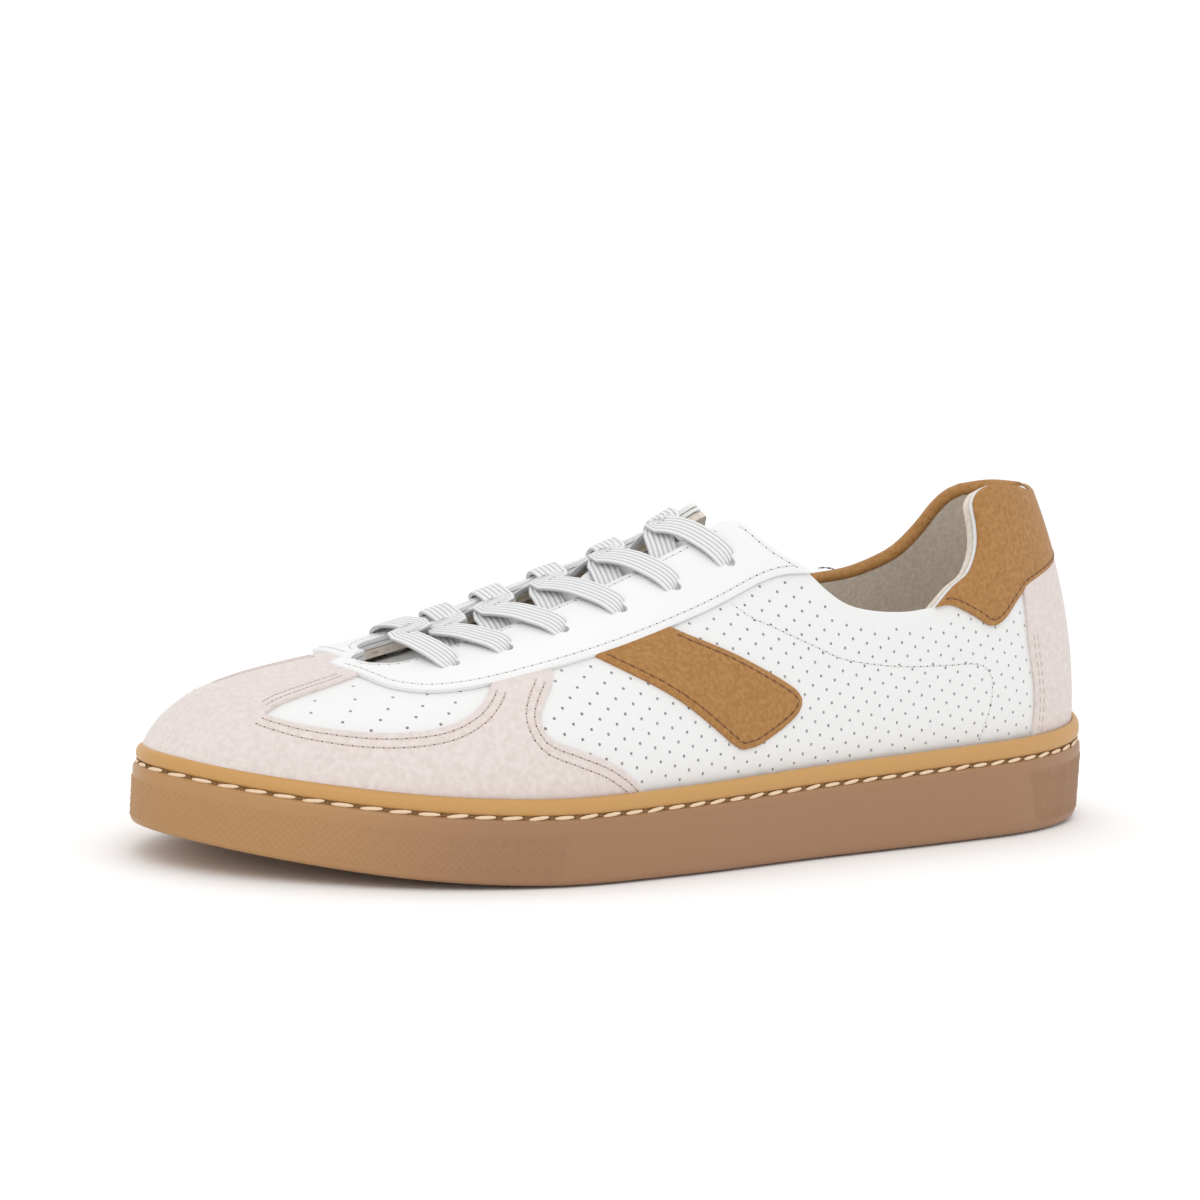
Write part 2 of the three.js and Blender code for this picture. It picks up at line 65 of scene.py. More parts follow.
SPINE_X = [
    (-138, -103), (-122, -101), (-105, -94), (-85, -80), (-60, -58), (0, 0), (60, 58), (85, 78), (105, 92),
    (122, 98), (138, 100),
]
SPINE_Y = [(-138, 9), (-100, 6), (-50, 1), (0, -3), (60, -1), (138, 0)]
PLAN_POWER = [(-138, 2.9), (-80, 2.7), (-40, 2.3), (10, 1.6), (80, 1.35), (138, 0.85)]
HEIGHT_POWER = [(-138, 2.6), (-80, 2.5), (-40, 2.2), (10, 1.9), (80, 1.8), (138, 2.0)]


def smooth(table, x):
    """Value at x through a table of pairs, with slopes that never overshoot."""
    xs, ys = np.array(table, float).T
    step, rise = np.diff(xs), np.diff(ys)
    slope = rise / step
    tangent = np.zeros(len(xs))
    tangent[0], tangent[-1] = slope[0], slope[-1]
    product = slope[:-1] * slope[1:]
    total = slope[:-1] + slope[1:]
    tangent[1:-1] = np.where(product > 0, 2 * product / np.where(total == 0, 1, total), 0)
    x = np.clip(x, xs[0], xs[-1])
    i = np.clip(np.searchsorted(xs, x, side="right") - 1, 0, len(xs) - 2)
    s = (x - xs[i]) / step[i]
    return (
        (1 + 2 * s) * (1 - s) ** 2 * ys[i]
        + s * (1 - s) ** 2 * step[i] * tangent[i]
        + s * s * (3 - 2 * s) * ys[i + 1]
        + s * s * (s - 1) * step[i] * tangent[i + 1]
    )


def catmull(a, b, c, d, f):
    """Point a share f of the way from b to c on the Catmull-Rom curve through a, b, c and d."""
    square = (2 * a - 5 * b + 4 * c - d) * f**2
    cube = (3 * b - a - 3 * c + d) * f**3
    return 0.5 * (2 * b + (c - a) * f + square + cube)


def plan_raw(t):
    """Closed Catmull-Rom curve through the plan points, with its direction."""
    points = np.array(SOLE_PLAN, float)
    count = len(points)
    place = np.mod(t, 1.0) * count
    i = np.floor(place).astype(int) % count
    f = (place - np.floor(place))[..., None]
    a, b, c, d = (points[(i + k) % count] for k in (-1, 0, 1, 2))
    position = catmull(a, b, c, d, f)
    direction = 0.5 * ((c - a) + 2 * (2 * a - 5 * b + 4 * c - d) * f + 3 * (3 * b - a - 3 * c + d) * f**2)
    return position, direction / np.linalg.norm(direction, axis=-1, keepdims=True)


outline = plan_raw(np.linspace(0, 1, 2000, endpoint=False))[0]
PLAN_MIDDLE = (outline.max(0) + outline.min(0)) / 2
PLAN_SCALE = np.array([SOLE_LENGTH, SOLE_WIDTH]) / (outline.max(0) - outline.min(0))


def plan(t, inset=0.0):
    """Point of the sole outline (0 toe tip, 0.5 heel), moved inwards."""
    position, direction = plan_raw(np.asarray(t, float))
    inward = np.stack([-direction[..., 1], direction[..., 0]], -1)
    return (position - PLAN_MIDDLE) * PLAN_SCALE + inward * np.asarray(inset)[..., None]


def ramp(x, law):
    start, end, rise = law
    return rise * np.clip((x - start) / (end - start), 0, 1) ** 2


def sole_bottom(x):
    return ramp(x, TOE_SPRING) + ramp(x, HEEL_BEVEL)


def sole_top(x):
    return sole_bottom(x) + smooth(WALL_HEIGHT, x)


def surface(u, w):
    """Base surface of the upper.

    u runs from the toe (0) to the heel (0.5), and w from the lateral foot (-1) over the ridge (0)
    to the medial foot (1).
    """
    u, w = np.broadcast_arrays(np.asarray(u, float), np.asarray(w, float))
    t = np.where(w <= 0, u, 1 - u)
    v = np.clip(1 - np.abs(w), 0, 1)
    foot = plan(t, smooth(UPPER_INSET, plan(t)[..., 0]))
    x = foot[..., 0]
    spine_x = smooth(SPINE_X, x)
    spine = np.stack([spine_x, smooth(SPINE_Y, spine_x)], -1)
    low, high = np.cos(v * np.pi / 2), np.sin(v * np.pi / 2)
    across = 1 - np.maximum(low, 0) ** (2 / smooth(PLAN_POWER, x))
    up = np.maximum(high, 0) ** (2 / smooth(HEIGHT_POWER, x))
    flat = foot + (spine - foot) * across[..., None]
    base = sole_top(x) - UPPER_SINK
    z = base + (smooth(RIDGE, flat[..., 0]) - base) * up
    return np.concatenate([flat, z[..., None]], -1)


def surface_frame(u, w):
    """Position and outward normal of the base surface, and its two directions."""
    eps_u, eps_w = 2e-4, 1e-3
    w = np.clip(w, -1 + 2 * eps_w, 1 - 2 * eps_w)
    along = (surface(u + eps_u, w) - surface(u - eps_u, w)) / (2 * eps_u)
    over = (surface(u, w + eps_w) - surface(u, w - eps_w)) / (2 * eps_w)
    normal = np.cross(along, over)
    size = np.linalg.norm(normal, axis=-1, keepdims=True)
    normal = np.where(size > 1e-6, normal / np.maximum(size, 1e-9), [0.0, 0.0, 1.0])
    return normal, along, over


# Pattern coordinates: a is millimetres round the foot line from the toe (0) to the heel (HALF),
# b is millimetres over the shoe: -OVER at the lateral foot, 0 on the ridge, OVER at the medial foot.
HALF = 320.0
OVER = 70.0


def lift(ab, height):
    """Pattern points raised off the base surface, in millimetres."""
    ab = np.asarray(ab, float)
    u, w = ab[..., 0] / (2 * HALF), ab[..., 1] / OVER
    normal = surface_frame(u, w)[0]
    return surface(u, w) + normal * np.asarray(height, float)[..., None]


def curve(points, step=1.2):
    """Smooth open line through (a, share over the shoe) points, as pattern points about step apart."""
    p = np.array(points, float) * [1, OVER]
    padded = np.vstack([2 * p[0] - p[1], p, 2 * p[-1] - p[-2]])
    out = []
    for i in range(len(p) - 1):
        a, b, c, d = padded[i:i + 4]
        count = max(2, int(np.linalg.norm(c - b) / step))
        f = (np.arange(count) / count)[:, None]
        out.append(catmull(a, b, c, d, f))
    return np.vstack([*out, p[-1:]])


def straight(p, q, step=1.2):
    p, q = np.array(p, float) * [1, OVER], np.array(q, float) * [1, OVER]
    count = max(1, int(np.linalg.norm(q - p) / step))
    return p + (q - p) * (np.arange(count + 1) / count)[:, None]


def mirrored(line):
    """The same line on the medial side, counted over the ridge."""
    return line * [1, -1]


def round_heel(line):
    """The same line on the medial side, counted on round the heel."""
    return np.stack([2 * HALF - line[:, 0], line[:, 1]], 1)


def join(*lines):
    """One closed loop from lines laid end to end."""
    points = np.vstack(lines)
    keep = np.linalg.norm(points - np.roll(points, 1, 0), axis=1) > 0.05
    return points[keep]


# ---------------------------------------------------------------- pattern of the upper
# Edges as (millimetres round from the toe, share over the shoe), lateral side.
EYESTAY_LOW = curve([
    (79, 0), (83, -0.1), (88, -0.27), (95, -0.36), (104, -0.4), (121, -0.42), (140, -0.45), (160, -0.46),
    (177, -0.47), (187, -0.52),
])
THROAT = curve([
    (88, 0), (91, -0.07), (98, -0.12), (112, -0.11), (127, -0.13), (145, -0.16), (161, -0.18), (175, -0.2),
])
EYESTAY_TOP = curve([(175, -0.2), (177.5, -0.25), (181, -0.4), (187, -0.52)])
COLLAR = curve([(187, -0.52), (190, -0.58), (194, -0.63), (200, -0.665), (207, -0.685), (214, -0.69)])
TAB_FRONT = curve([
    (214, -0.69), (220, -0.655), (226, -0.63), (230.5, -0.58), (232, -0.53), (232.5, -0.49), (236, -0.465),
    (242, -0.455),
])
TAB_TOP = curve([(242, -0.455), (258, -0.475), (276, -0.5), (320, -0.51)])
TAB_FRONT_MEDIAL = curve([
    (214, -0.69), (222, -0.685), (230, -0.668), (236, -0.645), (242, -0.60), (247, -0.555), (252, -0.528),
    (258, -0.515),
])
TAB_TOP_MEDIAL = curve([(258, -0.515), (276, -0.51), (320, -0.51)])
TOPLINE = {-1: (TAB_FRONT, TAB_TOP), 1: (TAB_FRONT_MEDIAL, TAB_TOP_MEDIAL)}
TAB_LOW = curve([
    (214, -0.69), (219, -0.692), (226, -0.72), (231, -0.742), (236, -0.735), (244, -0.7), (253, -0.68),
    (285, -0.665), (320, -0.66),
])
BACKSTAY_EDGE = curve([(247, -0.66), (246.5, -0.79), (248, -0.87), (248, -0.93), (246, -1)])
WINDOW = [
    curve([(44, -0.4), (50, -0.31), (63, -0.22), (76, -0.16), (86, -0.12)]),
    curve([(86, -0.12), (91, -0.3), (98, -0.36), (113, -0.38)]),
    curve([
        (113, -0.38), (109, -0.48), (104, -0.56), (97, -0.615), (88, -0.63), (76, -0.61), (62, -0.55),
        (52, -0.48), (46, -0.43), (44, -0.4),
    ]),
]
STRAP_REAR = curve([
    (128, -0.36), (125, -0.48), (120.5, -0.58), (118.5, -0.66), (120, -0.74), (126, -0.8), (133, -0.86),
    (139, -0.93), (143, -1),
])
QUARTER_SEAM = curve([
    (169, -0.47), (173, -0.55), (180, -0.64), (186, -0.7), (191, -0.74), (199, -0.775), (207, -0.795),
    (216, -0.805), (225, -0.81), (229, -0.825), (230.5, -0.85), (230, -0.89), (228, -0.93), (225, -0.98),
])
BAND = [
    straight((133, -0.36), (150, -0.36)),
    curve([(150, -0.36), (157, -0.5), (168, -0.64), (179, -0.77)]),
    curve([(179, -0.77), (180.5, -0.8), (179.5, -0.83), (176, -0.855), (170, -0.885)]),
    curve([(170, -0.885), (167, -0.89), (163.5, -0.87), (152, -0.71), (141, -0.54), (133, -0.36)]),
]
VAMP_SEAM = 113.0
QUARTER_FRONT = VAMP_SEAM + 0.4
LINING_SEAM = (128.0, 128.5)
STRAP_FOOT = 143
BACKSTAY_FOOT = 246
HEEL_TOP = -0.51
TAB_BOTTOM = -0.66
EYELETS = [(108, -0.235), (121, -0.25), (134, -0.28), (147, -0.31), (159.5, -0.33), (172, -0.355)]
EYELET_RADIUS = 1.5
PERFORATION_RADIUS = 0.42
PERFORATION_PITCH = 4.6
PERFORATION_ROW = 2.75
PERFORATION_TILT = 15.0
# Side-view ranges (x, then z) that the punched grids cover, and how far they stay from an edge.
VAMP_HOLES = ((-122, -62), (28, 48))
QUARTER_HOLES = ((-66, 112), (22, 80))
VAMP_HOLE_MARGIN = 1.6
QUARTER_HOLE_MARGIN = 2.4

# Heights of the layers off the base surface.
LINING = (-2.2, -0.05)
LEATHER = (0.0, 1.1)
SUEDE = (1.1, 2.1)
EYESTAY_LAYER = (1.2, 2.5)
TAB_LAYER = (1.15, 2.3)
TONGUE_LAYER = (-5.4, -3.6)
TONGUE_LINING_LAYER = (-6.2, -5.4)
SPACING = 2.2
EDGE_ROUND = 0.5
SHARP_ANGLE = math.radians(42)
HIDDEN_SPACING = 3.0


# ---------------------------------------------------------------- mesh helpers
def make_object(name, vertices_mm, faces, material):
    """A smooth mesh; a face that names a corner twice is kept as a triangle."""
    mesh = bpy.data.meshes.new(name)
    corners = [list(dict.fromkeys(map(int, face))) for face in faces]
    mesh.from_pydata((np.asarray(vertices_mm) * MM).tolist(), [], corners)
    mesh.update()
    mesh.shade_smooth()
    mesh.materials.append(material)
    thing = bpy.data.objects.new(name, mesh)
    bpy.context.collection.objects.link(thing)
    return thing


def weld(thing, distance=0.004):
    edit = bmesh.new()
    edit.from_mesh(thing.data)
    bmesh.ops.remove_doubles(edit, verts=edit.verts, dist=distance * MM)
    bmesh.ops.dissolve_degenerate(edit, dist=1e-7, edges=edit.edges)
    bmesh.ops.recalc_face_normals(edit, faces=edit.faces)
    edit.to_mesh(thing.data)
    edit.free()
    return thing


def inside(points, loop):
    """Which points lie inside a closed loop."""
    result = np.zeros(len(points), bool)
    x, y = points[:, 0], points[:, 1]
    for (ax, ay), (bx, by) in zip(loop, np.roll(loop, -1, 0)):
        if ay == by:
            continue
        crosses = (ay > y) != (by > y)
        result ^= crosses & (x < (bx - ax) * (y - ay) / (by - ay) + ax)
    return result


def distance_to(points, loop):
    """Distance from each point to a closed loop, leaving out the part that lies on the toe centre line."""
    best = np.full(len(points), 1e9)
    for start, end in zip(loop, np.roll(loop, -1, 0)):
        if start[0] < 1e-6 and end[0] < 1e-6:
            continue
        along = end - start
        share = np.clip(((points - start) @ along) / max(along @ along, 1e-12), 0, 1)
        best = np.minimum(best, np.hypot(*(points - start - share[:, None] * along).T))
    return best


def ring_inside(loop, amount):
    before, after = np.roll(loop, 1, 0), np.roll(loop, -1, 0)
    along = after - before
    along /= np.maximum(np.linalg.norm(along, axis=1, keepdims=True), 1e-9)
    turn = 1 if np.sum(loop[:, 0] * after[:, 1] - after[:, 0] * loop[:, 1]) > 0 else -1
    return loop + turn * amount * np.stack([-along[:, 1], along[:, 0]], 1)


def punch_shape(centre, radius, sides):
    """Pattern points that make a round hole of this radius on the real surface."""
    u, w = centre[0] / (2 * HALF), centre[1] / OVER
    _, along, over = surface_frame(np.array(u), np.array(w))
    along, over = along / (2 * HALF), over / OVER
    first = along / np.linalg.norm(along)
    second = over - first * (over @ first)
    second /= np.linalg.norm(second)
    matrix = np.array([[along @ first, over @ first], [along @ second, over @ second]])
    angle = np.arange(sides) / sides * 2 * np.pi
    return centre + (np.linalg.inv(matrix) @ np.stack([np.cos(angle), np.sin(angle)]) * radius).T


def panel(name, loop, layer, material, cutouts=(), punches=(), spacing=SPACING, edge=EDGE_ROUND, height=None):
    """A piece of sheet cut to a pattern loop and laid on the last between two heights."""
    low, high = layer
    lo, hi = loop.min(0), loop.max(0)
    lattice = []
    row_step = spacing * 0.866
    for r, b in enumerate(np.arange(lo[1] + row_step / 2, hi[1], row_step)):
        a = np.arange(lo[0] + spacing * (0.25 + 0.5 * (r % 2)), hi[0], spacing)
        lattice.append(np.stack([a, np.full(len(a), b)], 1))
    lattice = np.vstack(lattice)
    lattice = lattice[inside(lattice, loop)]
    loops = [loop, *cutouts]
    for each in loops:
        lattice = lattice[distance_to(lattice, each) > max(edge, 0.3) + spacing * 0.35]
    for each in cutouts:
        lattice = lattice[~inside(lattice, each)]
    punches = [(np.array(c), radius, punch_shape(np.array(c), radius, sides)) for c, radius, sides in punches]
    for centre, radius, _ in punches:
        lattice = lattice[np.hypot(*(lattice - centre).T) > radius + spacing * 0.35]
    points, edges = [], []
    for each in [*loops, *(shape for _, _, shape in punches)]:
        start = len(points)
        points.extend(each)
        edges.extend((start + i, start + (i + 1) % len(each)) for i in range(len(each)))
    if edge > 0:
        for index, each in enumerate(loops):
            inner = ring_inside(each, edge if index == 0 else -edge)
            inner = inner[distance_to(inner, each) > edge * 0.8]
            points.extend(inner[inner[:, 0] >= -1e-6])
    points.extend(centre for centre, _, _ in punches)
    points.extend(lattice)
    flat, _, faces, *_ = delaunay_2d_cdt([Vector(p) for p in points], edges, [], 0, 1e-5)
    flat = np.array([tuple(v) for v in flat])
    faces = np.array([f for f in faces])
    centres = flat[faces].mean(1)
    keep = inside(centres, loop)
    for each in cutouts:
        keep &= ~inside(centres, each)
    for _, _, shape in punches:
        near = np.where(np.abs(centres - shape.mean(0)).max(1) < 4)[0]
        keep[near[inside(centres[near], shape)]] = False
    faces = faces[keep]
    used = np.unique(faces)
    renumber = np.full(len(flat), -1)
    renumber[used] = np.arange(len(used))
    flat, faces = flat[used], renumber[faces]
    drop = np.zeros(len(flat))
    if edge > 0:
        near = np.min([distance_to(flat, each) for each in loops], axis=0)
        drop = edge * 0.7 * np.clip(1 - near / edge, 0, 1) ** 2
    top_height = high - drop + (height(flat) if height else 0)
    top, bottom = lift(flat, top_height), lift(flat, np.full(len(flat), low))
    count = len(flat)
    sides = {}
    for a, b, c in faces:
        for p, q in ((a, b), (b, c), (c, a)):
            if (q, p) in sides:
                del sides[(q, p)]
            else:
                sides[(p, q)] = True
    seam = flat[:, 0] < 1e-3
    walls = [(q, p, p + count, q + count) for p, q in sides if not (seam[p] and seam[q])]
    all_faces = [tuple(f) for f in faces] + [tuple(f[::-1] + count) for f in faces] + walls
    thing = weld(make_object(name, np.vstack([top, bottom]), all_faces, material))
    thing.data.set_sharp_from_angle(angle=SHARP_ANGLE)
    return thing


def foot_line(start, end, side):
    return straight((start, side), (end, side))


def spaced(line_mm, step):
    """Arc lengths and a sampler along a line in millimetres."""
    gaps = np.linalg.norm(np.diff(line_mm, axis=0), axis=1)
    total = np.concatenate([[0], np.cumsum(gaps)])
    count = max(1, int(round(total[-1] / step)))
    return total, np.arange(count + 1) / count * total[-1]


def point_at(path, total, distance):
    """Points of a path at given distances along it."""
    return np.stack([np.interp(distance, total, path[:, k]) for k in range(3)], -1)


def capsules(name, centres, directions, ups, length, radius, material, sides=6, flatten=0.8):
    """Short rounded threads, all in one mesh."""
    profile = [(-0.5, 0.0), (-0.42, 0.62), (-0.2, 1.0), (0.2, 1.0), (0.42, 0.62), (0.5, 0.0)]
    vertices, faces = [], []
    for centre, along, up in zip(centres, directions, ups):
        across = np.cross(up, along)
        across /= np.linalg.norm(across)
        up = np.cross(along, across)
        base = len(vertices)
        vertices.append(centre + along * length * profile[0][0])
        for x, r in profile[1:-1]:
            for s in range(sides):
                angle = 2 * np.pi * s / sides
                offset = across * np.cos(angle) + up * np.sin(angle) * flatten
                vertices.append(centre + along * length * x + offset * radius * r)
        vertices.append(centre + along * length * profile[-1][0])
        rings = len(profile) - 2
        last = base + 1 + rings * sides
        for s in range(sides):
            t = (s + 1) % sides
            faces.append((base, base + 1 + t, base + 1 + s))
            faces.append((last, last - sides + s, last - sides + t))
            for k in range(rings - 1):
                row = base + 1 + k * sides
                faces.append((row + s, row + t, row + sides + t, row + sides + s))
    thing = make_object(name, vertices, faces, material)
    return weld(thing, 0.0)


def stitch_places(line, height, step):
    """Centres, directions and outward directions of stitches along a pattern line."""
    path = lift(line, np.full(len(line), height))
    total, marks = spaced(path, step)
    middle = (marks[:-1] + marks[1:]) / 2
    pattern = np.stack([np.interp(middle, total, line[:, k]) for k in (0, 1)], 1)
    normal = surface_frame(pattern[:, 0] / (2 * HALF), pattern[:, 1] / OVER)[0]
    centre = point_at(path, total, middle)
    along = point_at(path, total, middle + 0.3) - point_at(path, total, middle - 0.3)
    along /= np.maximum(np.linalg.norm(along, axis=1, keepdims=True), 1e-9)
    return centre, along, normal


def offset_line(line, amount):
    """A pattern line moved sideways by real millimetres (left of its direction when positive)."""
    u, w = line[:, 0] / (2 * HALF), line[:, 1] / OVER
    _, along, over = surface_frame(u, w)
    along, over = along / (2 * HALF), over / OVER
    direction = np.gradient(line, axis=0)
    real = along * direction[:, :1] + over * direction[:, 1:]
    real /= np.maximum(np.linalg.norm(real, axis=1, keepdims=True), 1e-9)
    first = along / np.maximum(np.linalg.norm(along, axis=1, keepdims=True), 1e-9)
    normal = np.cross(along, over)
    normal /= np.maximum(np.linalg.norm(normal, axis=1, keepdims=True), 1e-9)
    sideways = np.cross(normal, real)
    out = []
    for k in range(len(line)):
        second = np.cross(normal[k], first[k])
        matrix = np.array([[along[k] @ first[k], over[k] @ first[k]], [along[k] @ second, over[k] @ second]])
        target = np.array([sideways[k] @ first[k], sideways[k] @ second]) * amount
        out.append(line[k] + np.linalg.solve(matrix + np.eye(2) * 1e-6, target))
    return np.array(out)


# ---------------------------------------------------------------- materials
def material(name, color, roughness, **values):
    made = bpy.data.materials.new(name)
    made.use_nodes = True
    shader = made.node_tree.nodes["Principled BSDF"]
    shader.inputs["Base Color"].default_value = (*color, 1)
    shader.inputs["Roughness"].default_value = roughness
    for key, value in values.items():
        shader.inputs[key.replace("_", " ")].default_value = value
    return made


def node(made, kind, **values):
    new = made.node_tree.nodes.new(kind)
    for key, value in values.items():
        target = new.inputs.get(key.replace("_", " "))
        if target is not None:
            target.default_value = value
        else:
            setattr(new, key, value)
    return new


def link(made, source, target):
    made.node_tree.links.new(source, target)


def noise(made, scale, detail=3.0):
    where = node(made, "ShaderNodeTexCoord")
    texture = node(made, "ShaderNodeTexNoise", Scale=scale, Detail=detail)
    link(made, where.outputs["Object"], texture.inputs["Vector"])
    return texture.outputs["Fac"]


def mottle(made, scale, dark, light, detail=4.0, low=0.35, high=0.65):
    """Base colour that wanders between two colours."""
    ramp_node = node(made, "ShaderNodeValToRGB")
    ramp_node.color_ramp.elements[0].position = low
    ramp_node.color_ramp.elements[1].position = high
    ramp_node.color_ramp.elements[0].color = (*dark, 1)
    ramp_node.color_ramp.elements[1].color = (*light, 1)
    link(made, noise(made, scale, detail), ramp_node.inputs["Fac"])
    link(made, ramp_node.outputs["Color"], made.node_tree.nodes["Principled BSDF"].inputs["Base Color"])


def bump(made, scale, strength, distance_mm, detail=4.0):
    shader = made.node_tree.nodes["Principled BSDF"]
    new = node(made, "ShaderNodeBump", Strength=strength, Distance=distance_mm * MM)
    link(made, noise(made, scale, detail), new.inputs["Height"])
    link(made, new.outputs["Normal"], shader.inputs["Normal"])


def pebbled(made, scale, strength, distance_mm):
    shader = made.node_tree.nodes["Principled BSDF"]
    where = node(made, "ShaderNodeTexCoord")
    cells = node(made, "ShaderNodeTexVoronoi", Scale=scale)
    cells.feature = "SMOOTH_F1"
    link(made, where.outputs["Object"], cells.inputs["Vector"])
    new = node(made, "ShaderNodeBump", Strength=strength, Distance=distance_mm * MM)
    link(made, cells.outputs["Distance"], new.inputs["Height"])
    link(made, new.outputs["Normal"], shader.inputs["Normal"])


WHITE_LEATHER = material("white_leather", (0.745, 0.745, 0.74), 0.42, Specular_IOR_Level=0.4)
pebbled(WHITE_LEATHER, 1400, 0.16, 0.12)
SMOOTH_LEATHER = material("smooth_white_leather", (0.765, 0.765, 0.76), 0.38, Specular_IOR_Level=0.4)
pebbled(SMOOTH_LEATHER, 1700, 0.08, 0.08)
PALE_SUEDE = material(
    "offwhite_suede", (0.67, 0.60, 0.57), 0.95, Sheen_Weight=0.15, Sheen_Roughness=0.5,
    Specular_IOR_Level=0.15,
)
mottle(PALE_SUEDE, 700, (0.635, 0.56, 0.53), (0.70, 0.63, 0.60), 6.0)
bump(PALE_SUEDE, 2600, 0.5, 0.12)
BROWN_SUEDE = material(
    "brown_suede", (0.37, 0.185, 0.06), 0.95, Sheen_Weight=0.2, Sheen_Roughness=0.45,
    Specular_IOR_Level=0.1,
)
mottle(BROWN_SUEDE, 900, (0.325, 0.155, 0.05), (0.41, 0.215, 0.075), 8.0)
bump(BROWN_SUEDE, 2400, 0.7, 0.16)
LINING_CLOTH = material("lining_cloth", (0.69, 0.62, 0.54), 0.95, Sheen_Weight=0.25, Specular_IOR_Level=0.15)
mottle(LINING_CLOTH, 900, (0.62, 0.55, 0.47), (0.74, 0.67, 0.59), 6.0)
bump(LINING_CLOTH, 2500, 0.4, 0.1)
TONGUE_LEATHER = material("tongue_leather", (0.70, 0.695, 0.685), 0.5)
pebbled(TONGUE_LEATHER, 1400, 0.15, 0.1)
WALL_RUBBER = material("gum_rubber", (0.43, 0.235, 0.135), 0.42, Specular_IOR_Level=0.3)
THREAD_CREAM = material("cream_thread", (0.75, 0.57, 0.39), 0.75, Sheen_Weight=0.2)
THREAD_WHITE = material("white_thread", (0.66, 0.655, 0.645), 0.75)
THREAD_PINK = material("offwhite_thread", (0.52, 0.42, 0.385), 0.85)
THREAD_BROWN = material("dark_brown_thread", (0.16, 0.065, 0.025), 0.85)
# Painted shade: dark pits at the needle holes stand in for the shadow inside the holes.
NEEDLE_HOLE_SHADE = material("needle_hole_painted_shade", (0.09, 0.06, 0.045), 1.0)
# Painted shade: dark pits at the sole needle holes stand in for the shadow inside them.
SOLE_NEEDLE_HOLE_SHADE = material("sole_needle_hole_shade", (0.24, 0.13, 0.055), 1.0)
LACE_CLOTH = material("woven_lace", (0.86, 0.86, 0.86), 0.85, Sheen_Weight=0.2)
FOOTBED_CLOTH = material("footbed_cloth", (0.60, 0.55, 0.48), 0.95)
bump(FOOTBED_CLOTH, 1800, 0.4, 0.1)
BOARD = material("stiffener_board", (0.60, 0.48, 0.30), 0.9)
FOAM = material("collar_foam", (0.75, 0.72, 0.66), 0.95)


def attribute_mix(made, name, dark, light):
    """Base colour set by a per-vertex value on the mesh."""
    reader = node(made, "ShaderNodeAttribute")
    reader.attribute_name = name
    mix = node(made, "ShaderNodeMix")
    mix.data_type = "RGBA"
    mix.inputs[6].default_value = (*dark, 1)
    mix.inputs[7].default_value = (*light, 1)
    link(made, reader.outputs["Fac"], mix.inputs[0])
    link(made, mix.outputs[2], made.node_tree.nodes["Principled BSDF"].inputs["Base Color"])


# Painted shade: the lace is grey in the grooves between its ribs and light on their crests.
attribute_mix(LACE_CLOTH, "rib_shade", (0.42, 0.42, 0.43), (0.78, 0.78, 0.775))
# The band value holds the real gum band and also a painted highlight that lightens the wall near the toe tip.
attribute_mix(WALL_RUBBER, "band", (0.315, 0.172, 0.092), (0.51, 0.28, 0.095))
bump(LACE_CLOTH, 3000, 0.35, 0.08)


def set_attribute(thing, name, values):
    layer = thing.data.attributes.new(name, "FLOAT", "POINT")
    layer.data.foreach_set("value", np.asarray(values, np.float32))


# ---------------------------------------------------------------- cupsole
WALL_SAMPLES = 1900
# In from the plan outline in millimetres, share of the wall height, share of the band colour.
LOWER_WALL = [(3.0, 0.0, 0), (1.1, 0.004, 0), (0.45, 0.02, 0), (0.12, 0.045, 0), (0.0, 0.08, 0)]
MIDDLE_ROWS = 30
KNURL_BAND = (0.10, 0.64)
UPPER_WALL = [
    (0.02, 0.70, 0), (0.12, 0.735, 0), (0.4, 0.757, 0.1), (0.95, 0.768, 0.3), (1.5, 0.775, 0.3),
    (1.65, 0.79, 0.3), (1.6, 0.805, 0.5), (1.25, 0.815, 0.8), (0.85, 0.83, 1), (0.62, 0.86, 1),
    (0.6, 0.90, 1), (0.72, 0.94, 1), (1.05, 0.972, 1), (1.6, 0.993, 1), (2.3, 1.0, 1), (
        2.9, 0.985, 1,
    ), (3.1, 0.93, 1), (3.2, 0.8, 1),
]
KNURL_PITCH = 1.75
KNURL_DEPTH = 0.45
TOE_KNURL_END = 103.0
TOE_KNURL_SLANT = 4.0
HEEL_KNURL_START = 262.0
HEEL_KNURL_SLANT = -5.0
# Painted highlight: share of the lighter band colour laid on the wall near the toe tip, standing in for light
# falling on the toe.
TOE_PAINTED_HIGHLIGHT = 0.5
CUP_FLOOR_INSET = 4.0
CUP_FLOOR_HEIGHT = 7.5


def smoothstep(x, low, high):
    s = np.clip((x - low) / (high - low), 0, 1)
    return s * s * (3 - 2 * s)


def knurl(along, height_mm, share, side_along):
    """Height of the crossed ridges, nothing outside the toe and heel panels."""
    first = np.abs(np.mod((along + height_mm * 1.0) / KNURL_PITCH, 1) - 0.5) * 2
    second = np.abs(np.mod((along - height_mm * 1.0) / KNURL_PITCH, 1) - 0.5) * 2
    ridge = np.minimum(first, second)
    toe_edge = TOE_KNURL_END + TOE_KNURL_SLANT * share
    heel_edge = HEEL_KNURL_START + HEEL_KNURL_SLANT * (share - 0.5) * 2
    panel_share = np.maximum(
        smoothstep(toe_edge - side_along, 0, 0.6), smoothstep(side_along - heel_edge, 0, 0.6),
    )
    top = np.where(side_along < 150, KNURL_BAND[1] - 0.03, KNURL_BAND[1] + 0.02)
    panel_share = panel_share * smoothstep(top - share, 0, 0.02) * smoothstep(share, 0.03, 0.05)
    return panel_share * (KNURL_DEPTH * ridge - 0.12)


